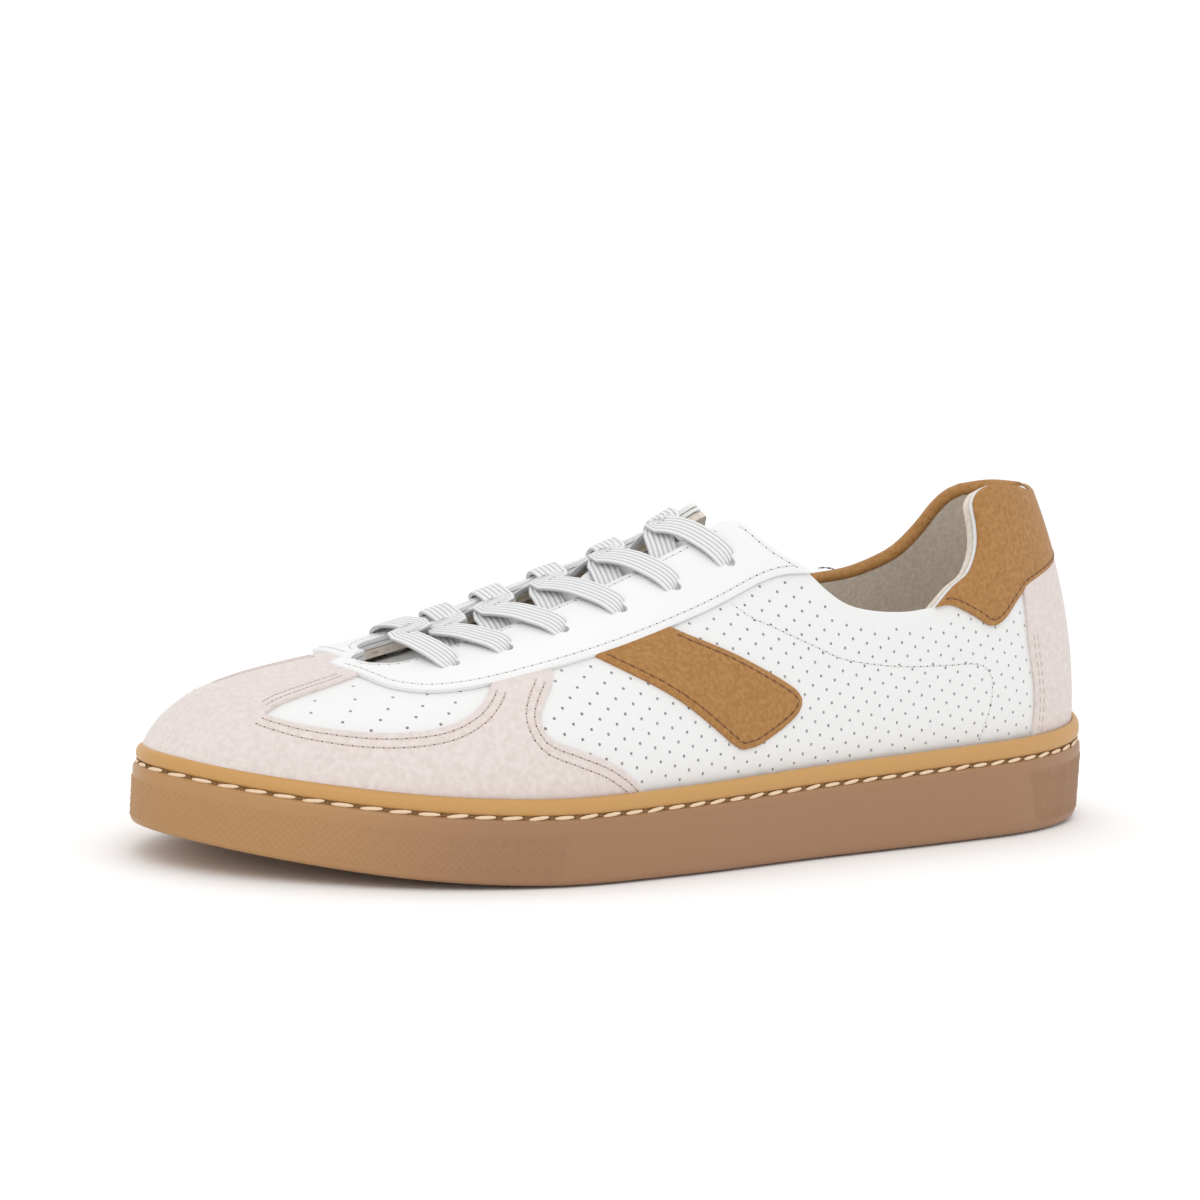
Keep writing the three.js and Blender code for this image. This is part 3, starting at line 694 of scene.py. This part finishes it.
def make_cupsole():
    t = np.arange(WALL_SAMPLES) / WALL_SAMPLES
    line = plan(t)
    steps = np.linalg.norm(np.roll(line, -1, 0) - line, axis=1)
    along = np.concatenate([[0], np.cumsum(steps)[:-1]])
    side_along = np.minimum(along, steps.sum() - along)
    middle = [(0.0, s, 0) for s in np.linspace(0.10, 0.665, MIDDLE_ROWS)]
    rows = []
    for inset, share, band in [*LOWER_WALL, *middle, *UPPER_WALL]:
        x = plan(t)[:, 0]
        height = (sole_top(x) - sole_bottom(x)) * share
        relief = knurl(along, height, share, side_along) if 0.09 < share < 0.67 else 0
        point = plan(t, inset - relief)
        # Painted highlight: the wall is made lighter towards the toe tip.
        toe_painted_highlight = TOE_PAINTED_HIGHLIGHT * smoothstep(-x, 70, 125)
        rows.append((
            np.concatenate([point, (sole_bottom(x) + height)[:, None]], 1), np.maximum(band, toe_painted_highlight),
        ))
    floor = plan(t, CUP_FLOOR_INSET)
    rows.append((
        np.concatenate(
            [floor, (sole_bottom(floor[:, 0]) + CUP_FLOOR_HEIGHT)[:, None]], 1,
        ), np.ones(WALL_SAMPLES),
    ))
    vertices = np.vstack([r[0] for r in rows])
    bands_and_toe_highlight = np.concatenate([r[1] for r in rows])
    n = WALL_SAMPLES
    faces = []
    for k in range(len(rows) - 1):
        i = np.arange(n)
        j = (i + 1) % n
        faces.extend(np.stack([k * n + i, k * n + j, (k + 1) * n + j, (k + 1) * n + i], 1).tolist())
    half = n // 2
    top = (len(rows) - 1) * n
    for i in range(half):
        j, k = (n - i) % n, n - i - 1
        faces.append((i, j, k, i + 1))
        faces.append((top + i, top + i + 1, top + k, top + j))
    thing = make_object("cupsole_body", vertices, faces, WALL_RUBBER)
    set_attribute(thing, "band", bands_and_toe_highlight)
    return weld(thing, 0.0)


SOLE_STITCH_STEP = 6.6
SOLE_STITCH_HEIGHT = 0.79


def make_sole_stitches():
    t = np.linspace(0, 1, 3000)
    line = plan(t, 0.95)
    x = line[:, 0]
    z = sole_bottom(x) + (sole_top(x) - sole_bottom(x)) * SOLE_STITCH_HEIGHT
    path = np.concatenate([line, z[:, None]], 1)
    total, marks = spaced(path, SOLE_STITCH_STEP)
    centres, directions, ups, holes = [], [], [], []
    for k in range(len(marks) - 1):
        mid = (marks[k] + marks[k + 1]) / 2
        along = point_at(path, total, mid + 0.5) - point_at(path, total, mid - 0.5)
        along /= np.linalg.norm(along)
        outward = np.array([along[1], -along[0], 0])
        outward /= np.linalg.norm(outward)
        wobble = 0.05 * math.sin(k * 2.4)
        centres.append(point_at(path, total, mid) + outward * 0.02)
        tilted = along + np.array([0, 0, 0.09 + wobble])
        directions.append(tilted / np.linalg.norm(tilted))
        ups.append(outward)
        # Painted shade: a dark pit at each needle hole of the sole stitching.
        holes.append(point_at(path, total, marks[k]) - outward * 0.3)
    threads = capsules("sole_stitches", centres, directions, ups, 5.3, 0.48, THREAD_CREAM, 8, 0.75)
    hole_shade_pits = capsules("sole_stitch_hole_shade", holes, directions, ups, 1.1, 0.34, SOLE_NEEDLE_HOLE_SHADE, 6, 1.0)
    return threads, hole_shade_pits


# ---------------------------------------------------------------- perforations
def located(x, z, side):
    """Pattern point of a side-view place on one side of the upper."""
    a, b = LOOKUP_A, LOOKUP_B
    table = LOOKUP[side]
    gap = (table[..., 0] - x) ** 2 + (table[..., 2] - z) ** 2
    k = np.unravel_index(np.argmin(gap), gap.shape)
    point = np.array([a[k], b[k] * side])
    for _ in range(4):
        here = lift(point, 0.0)[[0, 2]]
        du = (lift(point + [0.05, 0], 0.0)[[0, 2]] - here) / 0.05
        dw = (lift(point + [0, 0.05], 0.0)[[0, 2]] - here) / 0.05
        point = point + np.linalg.lstsq(np.stack([du, dw], 1), np.array([x, z]) - here, rcond=1e-3)[0]
        point[0] = np.clip(point[0], 1, HALF - 1)
    return point


LOOKUP_A, LOOKUP_B = np.meshgrid(np.linspace(0, HALF, 200), np.linspace(4, OVER, 60), indexing="ij")
LOOKUP = {side: lift(np.stack([LOOKUP_A, LOOKUP_B * side], -1), np.zeros(LOOKUP_A.shape)) for side in (-1, 1)}


def perforation_grid(x_range, z_range, side):
    """Staggered side-view grid of punched holes."""
    tilt = math.radians(PERFORATION_TILT)
    points = []
    for r in range(-40, 60):
        for c in range(-60, 80):
            x0 = c * PERFORATION_PITCH + (r % 2) * PERFORATION_PITCH / 2
            z0 = r * PERFORATION_ROW
            x = x0 * math.cos(tilt) + z0 * math.sin(tilt)
            z = -x0 * math.sin(tilt) + z0 * math.cos(tilt) + 30
            if x_range[0] < x < x_range[1] and z_range[0] < z < z_range[1]:
                points.append(located(x, z, side))
    return np.array(points)


def punches_in(grid, keep_inside, keep_clear, margin):
    """Punches inside one loop, clear of its edge and outside the others."""
    ok = inside(grid, keep_inside) & (distance_to(grid, keep_inside) > margin)
    for each in keep_clear:
        ok &= ~inside(grid, each)
    return [(point, PERFORATION_RADIUS, 8) for point in grid[ok]]


# ---------------------------------------------------------------- pieces of the upper
def on_side(line, side):
    return line if side < 0 else mirrored(line)


def side_loop(side, *lines):
    return join(*(on_side(line, side) for line in lines))


eyelet_points = {side: [np.array([a, side * abs(b) * OVER]) for a, b in EYELETS] for side in (-1, 1)}


def eyelet_punches(side):
    return [(p, EYELET_RADIUS, 14) for p in eyelet_points[side]]


def make_vamp():
    foot = foot_line(0, VAMP_SEAM, -1)
    rear = straight((VAMP_SEAM, -1), (VAMP_SEAM, -0.14))
    throat_front = THROAT[THROAT[:, 0] < VAMP_SEAM][::-1]
    half = np.vstack([foot, rear, throat_front])
    loop = join(half, mirrored(half)[::-1], straight((0, 1), (0, -1)))
    punches = []
    for side in (-1, 1):
        window = side_loop(side, *WINDOW)
        grid = perforation_grid(*VAMP_HOLES, side)
        punches += punches_in(grid, window, [], VAMP_HOLE_MARGIN)
    return panel("vamp_leather", loop, LEATHER, WHITE_LEATHER, punches=punches)


def make_quarter(side, name):
    back = HALF - 0.15
    tab_front, tab_top = TOPLINE[side]
    edge = [
        straight((QUARTER_FRONT, -0.14), (QUARTER_FRONT, -1)),
        foot_line(QUARTER_FRONT, back, -1),
        straight((back, -1), (back, HEEL_TOP)),
        tab_top[:-1][::-1],
        tab_front[::-1],
        COLLAR[::-1],
        EYESTAY_TOP[::-1],
        THROAT[THROAT[:, 0] > QUARTER_FRONT][::-1],
    ]
    loop = side_loop(side, *edge)
    hidden = [
        side_loop(side, EYESTAY_LOW, EYESTAY_TOP[::-1], THROAT[::-1]),
        side_loop(side, *BAND),
        side_loop(side, tab_front, tab_top, straight((HALF, HEEL_TOP), (HALF, TAB_BOTTOM)), TAB_LOW[::-1]),
        side_loop(
            side, BACKSTAY_EDGE, foot_line(BACKSTAY_FOOT, HALF, -1),
            straight((HALF, -1), (HALF, TAB_BOTTOM)),
        ),
        side_loop(
            side, STRAP_REAR, foot_line(STRAP_FOOT, VAMP_SEAM, -1), straight(
                (VAMP_SEAM, -1), (VAMP_SEAM, -0.36),
            ),
        ),
    ]
    grid = perforation_grid(*QUARTER_HOLES, side)
    punches = punches_in(grid, loop, hidden, QUARTER_HOLE_MARGIN)
    return panel(name, loop, LEATHER, WHITE_LEATHER, punches=punches)


def make_toe_cap():
    half = np.vstack([
        foot_line(0, STRAP_FOOT, -1), STRAP_REAR[::-1], straight((128, -0.36), (104, -0.33)),
        curve([(104, -0.33), (95, -0.28), (90, -0.12), (86, 0)]),
    ])
    loop = join(half, mirrored(half)[::-1], straight((0, 1), (0, -1)))
    windows = [side_loop(side, *WINDOW) for side in (-1, 1)]
    return panel("toe_overlay", loop, SUEDE, PALE_SUEDE, cutouts=windows)


def make_eyestay():
    half = np.vstack([EYESTAY_LOW, EYESTAY_TOP[::-1], THROAT[::-1]])
    loop = join(half, mirrored(half)[::-1])
    punches = eyelet_punches(-1) + eyelet_punches(1)
    return panel("eyestay_leather", loop, EYESTAY_LAYER, SMOOTH_LEATHER, punches=punches)


def make_heel_tab():
    lateral, medial = (np.vstack(TOPLINE[side]) for side in (-1, 1))
    loop = join(lateral, round_heel(medial)[::-1], round_heel(TAB_LOW), TAB_LOW[::-1])
    return panel("heel_tab_suede", loop, TAB_LAYER, BROWN_SUEDE)


def make_backstay():
    top = straight((247, -0.66), (HALF, -0.63))
    half = np.vstack([top[::-1], BACKSTAY_EDGE, foot_line(BACKSTAY_FOOT, HALF, -1)])
    loop = join(half, round_heel(half)[::-1])
    return panel("backstay_suede", loop, SUEDE, PALE_SUEDE)


def make_band(side, name):
    return panel(name, side_loop(side, *BAND), SUEDE, BROWN_SUEDE)


def bead(name, line, height, thickness, width, material, sides=12):
    """A rolled edge of oval section laid along a pattern line."""
    path = lift(line, np.full(len(line), height))
    normals = surface_frame(line[:, 0] / (2 * HALF), line[:, 1] / OVER)[0]
    along = np.gradient(path, axis=0)
    along /= np.linalg.norm(along, axis=1, keepdims=True)
    across = np.cross(normals, along)
    across /= np.linalg.norm(across, axis=1, keepdims=True)
    angle = np.arange(sides) / sides * 2 * np.pi
    out, over = np.cos(angle) * thickness / 2, np.sin(angle) * width / 2
    rings = [point + np.outer(out, normal) + np.outer(over, side) for point, normal, side in zip(
        path, normals, across,
    )]
    faces = []
    for k in range(len(rings) - 1):
        for i in range(sides):
            j = (i + 1) % sides
            faces.append((k * sides + i, k * sides + j, (k + 1) * sides + j, (k + 1) * sides + i))
    last = (len(rings) - 1) * sides
    faces += [tuple(range(sides)), tuple(range(last, last + sides))]
    return weld(make_object(name, np.vstack(rings), faces, material), 0.0)


def make_binding():
    topline = np.vstack([COLLAR, TAB_FRONT_MEDIAL[1:], TAB_TOP_MEDIAL[1:]])
    return bead("collar_binding_suede", mirrored(topline), -0.4, 4.2, 2.8, BROWN_SUEDE)


def make_vamp_lining():
    end = LINING_SEAM[0]
    half = np.vstack([
        foot_line(0, end, -1), straight((end, -1), (end, -0.14)), THROAT[THROAT[:, 0] < end][::-1],
    ])
    loop = join(half, mirrored(half)[::-1], straight((0, 1), (0, -1)))
    return panel("vamp_lining_cloth", loop, LINING, LINING_CLOTH, spacing=HIDDEN_SPACING)


def make_quarter_lining():
    start = LINING_SEAM[1]
    front = np.vstack([
        straight((start, -1), (start, -0.14)), THROAT[THROAT[:, 0] > start], EYESTAY_TOP, COLLAR,
    ])
    lateral, medial = (np.vstack([front, *TOPLINE[side]]) for side in (-1, 1))
    loop = join(lateral, round_heel(medial)[::-1], foot_line(2 * HALF - start, start, -1))
    return panel("quarter_lining_cloth", loop, LINING, LINING_CLOTH, spacing=HIDDEN_SPACING, edge=1.0)


STIFFENER_LAYER = (-1.5, -0.6)
REINFORCEMENT_WIDTH = 13.0


def make_toe_puff():
    half = np.vstack([foot_line(0, 36, -1), curve([(36, -1), (42, -0.6), (52, -0.25), (58, 0)])])
    loop = join(half, mirrored(half)[::-1], straight((0, 1), (0, -1)))
    return panel("toe_puff_board", loop, STIFFENER_LAYER, BOARD, spacing=HIDDEN_SPACING)


def make_heel_counter():
    edge = curve([(HALF, -0.72), (262, -0.73), (238, -0.78), (226, -0.88), (222, -1)])
    half = np.vstack([edge, foot_line(222, HALF, -1)])
    return panel(
        "heel_counter_board", join(
            half, round_heel(half)[::-1],
        ), STIFFENER_LAYER, BOARD, spacing=HIDDEN_SPACING,
    )


def make_collar_foam():
    lower = curve([(HALF, -0.69), (250, -0.705), (226, -0.76), (212, -0.755), (200, -0.73)])
    collar = COLLAR[COLLAR[:, 0] > 200]
    lateral, medial = (np.vstack([
        lower, np.vstack([collar, *TOPLINE[side]]) + [0, -2.0],
    ]) for side in (-1, 1))
    return panel(
        "collar_foam_pad", join(
            lateral, round_heel(medial)[::-1],
        ), STIFFENER_LAYER, FOAM, spacing=HIDDEN_SPACING,
    )


def make_reinforcement(side, name):
    inner = THROAT[(THROAT[:, 0] > 98) & (THROAT[:, 0] < 174)]
    outer = inner + [0, -REINFORCEMENT_WIDTH]
    return panel(name, side_loop(side, inner, outer[::-1]), STIFFENER_LAYER, BOARD, spacing=HIDDEN_SPACING)


TONGUE_HALF_WIDTH = 0.27
TONGUE_SPAN = (93.0, 169.0)


def tongue_loop(inset=0.0):
    start, end = TONGUE_SPAN
    w = TONGUE_HALF_WIDTH - inset
    side = curve([
        (start, -w * 0.55), (start + 12, -w * 0.85), (start + 30, -w), (end - 14, -w * 1.1),
        (end - 4, -w * 0.95), (end, -w * 0.6), (end + 1.5 - inset * 20, 0),
    ])
    return join(side, mirrored(side)[::-1])


def make_tongue():
    leather = panel("tongue_leather", tongue_loop(), TONGUE_LAYER, TONGUE_LEATHER, spacing=2.6, edge=0.9)
    lined = panel("tongue_lining_cloth", tongue_loop(0.015), TONGUE_LINING_LAYER, LINING_CLOTH, spacing=3.2)
    return leather, lined


def make_keeper():
    """Strap sewn across the tongue that the lace runs under."""
    loop = join(
        straight((149, -0.16), (157, -0.16)), straight((157, -0.16), (157, 0.16)),
        straight((157, 0.16), (149, 0.16)), straight((149, 0.16), (149, -0.16)))

    def crown(flat):
        return 3.2 * np.clip(1 - (flat[:, 1] / (0.16 * OVER)) ** 2, 0, 1)

    return panel("lace_keeper", loop, (-3.7, -2.6), SMOOTH_LEATHER, spacing=1.4, height=crown)


# ---------------------------------------------------------------- lace
LACE_WIDTH = 7.2
LACE_RIBS = 6
LACE_CROSS = 48
LEG_STEPS = 64
BAR_STEPS = 80


def lace_section(width, thickness):
    """Cross-section of the flat lace: ribs on both faces. Returns across, up, and a shade value: low in the
    grooves between ribs, high on their crests.
    """
    s = np.linspace(-0.5, 0.5, LACE_CROSS // 2 + 1)
    wave = np.abs(np.sin(np.pi * LACE_RIBS * (s + 0.5)))
    edge = np.sqrt(np.clip(1 - (np.abs(s) * 2) ** 8, 0, 1))
    up = thickness * edge * (0.32 + 0.18 * wave)
    across = s * width
    top = np.stack([across, up, wave], 1)
    bottom = np.stack([across, -up, wave], 1)[::-1][1:-1]
    return np.vstack([top, bottom])


def ribbon_mesh(path, normals, widths, thickness=1.25):
    """Vertices, faces and groove shade values of one stretch of lace."""
    path = np.asarray(path)
    along = np.gradient(path, axis=0)
    along /= np.linalg.norm(along, axis=1, keepdims=True)
    vertices, ribs = [], []
    for point, ahead, normal, width in zip(path, along, normals, widths):
        across = np.cross(normal, ahead)
        across /= np.linalg.norm(across)
        up = np.cross(ahead, across)
        crimp = thickness * (1 + 0.35 * (1 - width / LACE_WIDTH))
        section = lace_section(width, crimp)
        vertices.append(point + across * section[:, :1] + up * section[:, 1:2])
        ribs.append(section[:, 2])
    size = len(vertices[0])
    faces = []
    for k in range(len(vertices) - 1):
        for i in range(size):
            j = (i + 1) % size
            faces.append((k * size + i, k * size + j, (k + 1) * size + j, (k + 1) * size + i))
    faces.append(tuple(range(size))[::-1])
    faces.append(tuple((len(vertices) - 1) * size + i for i in range(size)))
    return np.vstack(vertices), faces, np.concatenate(ribs)


def smooth_path(points, count):
    p = np.array(points, float)
    padded = np.vstack([2 * p[0] - p[1], p, 2 * p[-1] - p[-2]])
    place = np.linspace(0, len(p) - 1, count)
    i = np.minimum(place.astype(int), len(p) - 2)
    f = (place - i)[:, None]
    return catmull(padded[i], padded[i + 1], padded[i + 2], padded[i + 3], f)


ON_EYESTAY = EYESTAY_LAYER[1] + 0.75


def lace_leg(start_k, end_k, end_side, rise, lean):
    """A leg from under one eyestay, across the tongue and down into an eyelet of the other side."""
    a0, a1 = EYELETS[start_k][0], EYELETS[end_k][0]
    w0, w1 = EYELETS[start_k][1], EYELETS[end_k][1]
    stations = [
        (0.00, -1.0, -3.2), (0.10, -0.80, -2.9), (0.22, -0.58, -0.6), (
            0.34, -0.34, 1.0 + rise * 0.5,
        ), (0.50, -0.02, 2.2 + rise * 0.7),
        (0.66, 0.34, ON_EYESTAY + 0.3 + rise * 0.3), (
            0.80, 0.62, ON_EYESTAY + 0.5,
        ), (0.93, 0.88, ON_EYESTAY + 0.1),
        (1.00, 0.985, 1.6), (1.03, 1.01, -1.6),
    ]
    knots = []
    for share, over, height in stations:
        a = a0 + (a1 - a0) * share + lean * math.sin(math.pi * min(share, 1.0))
        reach = abs(w0) if over < 0 else abs(w1)
        knots.append((a, over * reach * OVER * end_side, height))
    dense = smooth_path(knots, LEG_STEPS)
    path = lift(dense[:, :2], dense[:, 2])
    normals = surface_frame(dense[:, 0] / (2 * HALF), dense[:, 1] / OVER)[0]
    share = np.linspace(0, 1, LEG_STEPS)
    widths = LACE_WIDTH * (1 - 0.56 * smoothstep(share, 0.86, 0.97))
    return ribbon_mesh(path, normals, widths)


def front_bar():
    (a, w) = EYELETS[0]
    reach = w * OVER
    knots = [(a, reach * 1.01, -1.6), (a - 0.3, reach * 0.985, 1.6), (
        a - 1.2, reach * 0.86, ON_EYESTAY + 0.2,
    ), (a - 2.4, reach * 0.5, ON_EYESTAY + 1.4),
             (a - 2.8, 0, ON_EYESTAY + 1.7), (a - 2.4, -reach * 0.5, ON_EYESTAY + 1.4), (
                 a - 1.2, -reach * 0.86, ON_EYESTAY + 0.2,
             ),
             (a - 0.3, -reach * 0.985, 1.6), (a, -reach * 1.01, -1.6)]
    dense = smooth_path(knots, BAR_STEPS)
    path = lift(dense[:, :2], dense[:, 2])
    normals = surface_frame(dense[:, 0] / (2 * HALF), dense[:, 1] / OVER)[0]
    share = np.abs(np.linspace(-1, 1, BAR_STEPS))
    widths = LACE_WIDTH * (1 - 0.56 * smoothstep(share, 0.72, 0.95))
    return ribbon_mesh(path, normals, widths)


def make_lace():
    stretches = [front_bar()]
    for k in range(len(EYELETS) - 1):
        stretches.append(lace_leg(k, k + 1, 1, 0.0, 0.0))
        stretches.append(lace_leg(k, k + 1, -1, 1.5, 0.0))
    vertices, faces, ribs = [], [], []
    for points, quads, values in stretches:
        start = sum(len(v) for v in vertices)
        vertices.append(points)
        faces.extend(tuple(start + i for i in quad) for quad in quads)
        ribs.append(values)
    thing = make_object("lace_woven", np.vstack(vertices), faces, LACE_CLOTH)
    set_attribute(thing, "rib_shade", np.concatenate(ribs))
    return weld(thing, 0.0)


# ---------------------------------------------------------------- footbed
def make_footbed():
    t = np.arange(240) / 240
    rows = []
    for inset, height in [(8.6, 15.5), (8.3, 16.2), (8.3, 18.2), (8.6, 18.9), (9.3, 19.2), (11.0, 19.3)]:
        line = plan(t, inset)
        rows.append(np.concatenate([line, (sole_bottom(line[:, 0]) + height)[:, None]], 1))
    n = len(t)
    faces = []
    for k in range(len(rows) - 1):
        faces.extend((
            k * n + i, k * n + (i + 1) % n, (k + 1) * n + (i + 1) % n, (k + 1) * n + i,
        ) for i in range(n))
    top = (len(rows) - 1) * n
    for i in range(n // 2):
        j, k = (n - i) % n, n - i - 1
        faces.append((i, j, k, i + 1))
        faces.append((top + i, top + i + 1, top + k, top + j))
    return weld(make_object("footbed", np.vstack(rows), faces, FOOTBED_CLOTH), 0.0)


# ---------------------------------------------------------------- seams of the upper
def seam(name, lines, height, thread, step=2.3, length=1.75, radius=0.24, holes=True):
    centres, directions, ups = [], [], []
    for line in lines:
        c, d, n = stitch_places(line, height, step)
        centres.extend(c)
        directions.extend(d)
        ups.extend(n)
    made = [capsules(name, centres, directions, ups, length, radius, thread, 6, 0.7)]
    # Painted shade: a dark pit between each pair of stitches stands in for the shadow in the needle hole.
    if holes:
        hole_shade_pits = [c + d * step / 2 - n * 0.02 for c, d, n in zip(centres, directions, ups)]
        made.append(capsules(name + "_hole_shade", hole_shade_pits, directions, ups, 0.55, 0.2, NEEDLE_HOLE_SHADE, 6, 0.5))
    return made


def both(line):
    return [line, mirrored(line)]


def trimmed(line, start, end):
    return line[start:len(line) - end]


# ---------------------------------------------------------------- putting the shoe together
def place(things, slot_name, *nodes, body="shoe"):
    """Attaches pieces to their body and hides the CAD nodes they stand for; slot_name is not used."""
    for thing in things:
        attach(thing, body)
    if nodes:
        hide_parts(*nodes)


place([make_cupsole()], "gum_rubber", "cupsole")
sole_threads, sole_hole_shade_pits = make_sole_stitches()
place([sole_threads, sole_hole_shade_pits], "thread", "sole_stitch_thread")
place([make_footbed()], "felt", "sockliner")
place([make_vamp()], "leather_white", "vamp")
place([make_quarter(-1, "quarter_lateral_leather")], "leather_white", "quarter_lateral")
place([make_quarter(1, "quarter_medial_leather")], "leather_white", "quarter_medial")
place([make_toe_cap()], "suede_offwhite", "toe_cap")
place([make_eyestay()], "leather_white", "eyestay")
place([make_band(-1, "side_band_lateral_suede")], "suede_brown", "side_band_lateral")
place([make_band(1, "side_band_medial_suede")], "suede_brown", "side_band_medial")
place([make_heel_tab()], "suede_brown", "heel_tab")
place([make_backstay()], "suede_offwhite", "backstay")
place([make_binding()], "suede_brown", "collar_binding")
place([make_vamp_lining()], "lining", "vamp_lining")
place([make_quarter_lining()], "lining", "quarter_lining")
place([make_toe_puff()], "board", "toe_puff")
place([make_heel_counter()], "board", "heel_counter")
place([make_collar_foam()], "foam", "collar_foam")
for side_name, side_sign in (("lateral", -1), ("medial", 1)):
    strip = make_reinforcement(side_sign, f"eyelet_strip_{side_name}")
    place([strip], "board", f"eyelet_reinforcement_{side_name}")
tongue_leather, tongue_lined = make_tongue()
place([tongue_leather], "leather_white", "tongue", body="tongue")
place([tongue_lined], "lining", "tongue_lining", body="tongue")
place([make_keeper()], "leather_white", "tongue_lace_keeper", body="tongue")
place([make_lace()], "lace", "lace")

SUEDE_TOP = SUEDE[1] - 0.02
STAY_TOP = EYESTAY_LAYER[1] - 0.02
TAB_TOP_HEIGHT = TAB_LAYER[1] - 0.02
LEATHER_TOP = LEATHER[1] - 0.02
# How far each seam runs in from its edge, in millimetres.
TOE_SEAMS = (1.6, 3.6)
BACKSTAY_SEAMS = (1.8, 3.6)
EYESTAY_SEAM = 1.7
THROAT_SEAM = 1.6
BAND_SEAM = 1.6
TAB_SEAM = 1.5
for gap in TOE_SEAMS:
    lines = []
    rim = trimmed(offset_line(WINDOW[2], gap), 3, 2)
    lines += both(rim) + both(trimmed(offset_line(WINDOW[0], gap), 2, 6))
    lines += both(trimmed(offset_line(STRAP_REAR, -gap), 8, 2))
    place(seam(f"toe_overlay_seam_{int(gap)}", lines, SUEDE_TOP, THREAD_PINK), "thread")
stay_lines = both(trimmed(offset_line(EYESTAY_LOW, EYESTAY_SEAM), 2, 3))
stay_lines += both(trimmed(offset_line(THROAT, -THROAT_SEAM), 2, 2))
stay_lines += both(trimmed(offset_line(EYESTAY_TOP, -THROAT_SEAM), 3, 3))
place(seam("eyestay_seam", stay_lines, STAY_TOP, THREAD_WHITE), "thread")
band_path = np.vstack([trimmed(BAND[1], 8, 0), BAND[2][1:], trimmed(BAND[3], 0, 8)[1:]])
band_seam = both(offset_line(band_path, -BAND_SEAM))
place(seam("side_band_seam", band_seam, SUEDE_TOP, THREAD_BROWN, 2.6, 1.9, 0.26), "thread")
tab_line = trimmed(TAB_LOW, 2, 0)
tab_lines = [offset_line(np.vstack([tab_line, round_heel(tab_line)[::-1][1:]]), TAB_SEAM)]
place(seam("heel_tab_seam", tab_lines, TAB_TOP_HEIGHT, THREAD_BROWN, 2.4, 1.7, 0.24), "thread")
for gap in BACKSTAY_SEAMS:
    back_line = offset_line(trimmed(BACKSTAY_EDGE, 6, 2), gap)
    back_lines = [back_line, round_heel(back_line)]
    place(seam(f"backstay_seam_{int(gap)}", back_lines, SUEDE_TOP, THREAD_PINK, holes=False), "thread")
place(seam("quarter_seam", both(QUARTER_SEAM), LEATHER_TOP, THREAD_WHITE), "thread")


# ---------------------------------------------------------------- floor, light and camera
def add_floor():
    bpy.ops.mesh.primitive_plane_add(size=8, location=(0, 0, -0.0004))
    floor = bpy.context.object
    floor.name = "studio_floor"
    white = material("studio_white", (0.95, 0.95, 0.95), 0.9)
    floor.data.materials.append(white)


def add_light(name, location, target, size, power, color=(1, 1, 1)):
    lamp = bpy.data.lights.new(name, "AREA")
    lamp.shape = "DISK"
    lamp.size = size
    lamp.energy = power
    lamp.color = color
    thing = bpy.data.objects.new(name, lamp)
    bpy.context.collection.objects.link(thing)
    thing.location = location
    direction = Vector(target) - Vector(location)
    thing.rotation_euler = direction.to_track_quat("-Z", "Y").to_euler()
    return thing


CAMERA = {
    "azimuth": -36.9, "elevation": 7.3, "roll": 3.5, "distance": 1.030, "focal": 126.0,
    "shift": (0.0129, -0.0178),
}


AIM_HEIGHT = 0.040


def add_camera():
    a, e = math.radians(CAMERA["azimuth"]), math.radians(CAMERA["elevation"])
    back = Vector((math.sin(a) * math.cos(e), -math.cos(a) * math.cos(e), math.sin(e)))
    right = Vector((math.cos(a), math.sin(a), 0))
    up = back.cross(right)
    r = math.radians(CAMERA["roll"])
    right_r = right * math.cos(r) + up * math.sin(r)
    up_r = up * math.cos(r) - right * math.sin(r)
    turn = Matrix((right_r, up_r, back)).transposed()
    position = Vector((0, 0, AIM_HEIGHT)) + turn @ Vector((
        -CAMERA["shift"][0], -CAMERA["shift"][1], CAMERA["distance"],
    ))
    data = bpy.data.cameras.new("camera")
    data.lens = CAMERA["focal"]
    data.sensor_width = 36
    data.dof.use_dof = False
    thing = bpy.data.objects.new("camera", data)
    thing.matrix_world = Matrix.Translation(position) @ turn.to_4x4()
    bpy.context.collection.objects.link(thing)
    bpy.context.scene.camera = thing


def add_world():
    world = bpy.data.worlds.new("studio")
    world.use_nodes = True
    world.node_tree.nodes["Background"].inputs["Color"].default_value = (1, 1, 1, 1)
    world.node_tree.nodes["Background"].inputs["Strength"].default_value = 1.06
    bpy.context.scene.world = world


add_floor()
add_world()
add_light("key", (-0.7, -0.9, 1.1), (0, 0, 0.04), 0.8, 3.2)
add_light("top", (0.2, 0.3, 1.3), (0, 0, 0.04), 0.9, 1.2)
bpy.context.scene.view_settings.view_transform = "Standard"
bpy.context.scene.view_settings.exposure = 0.0
add_camera()
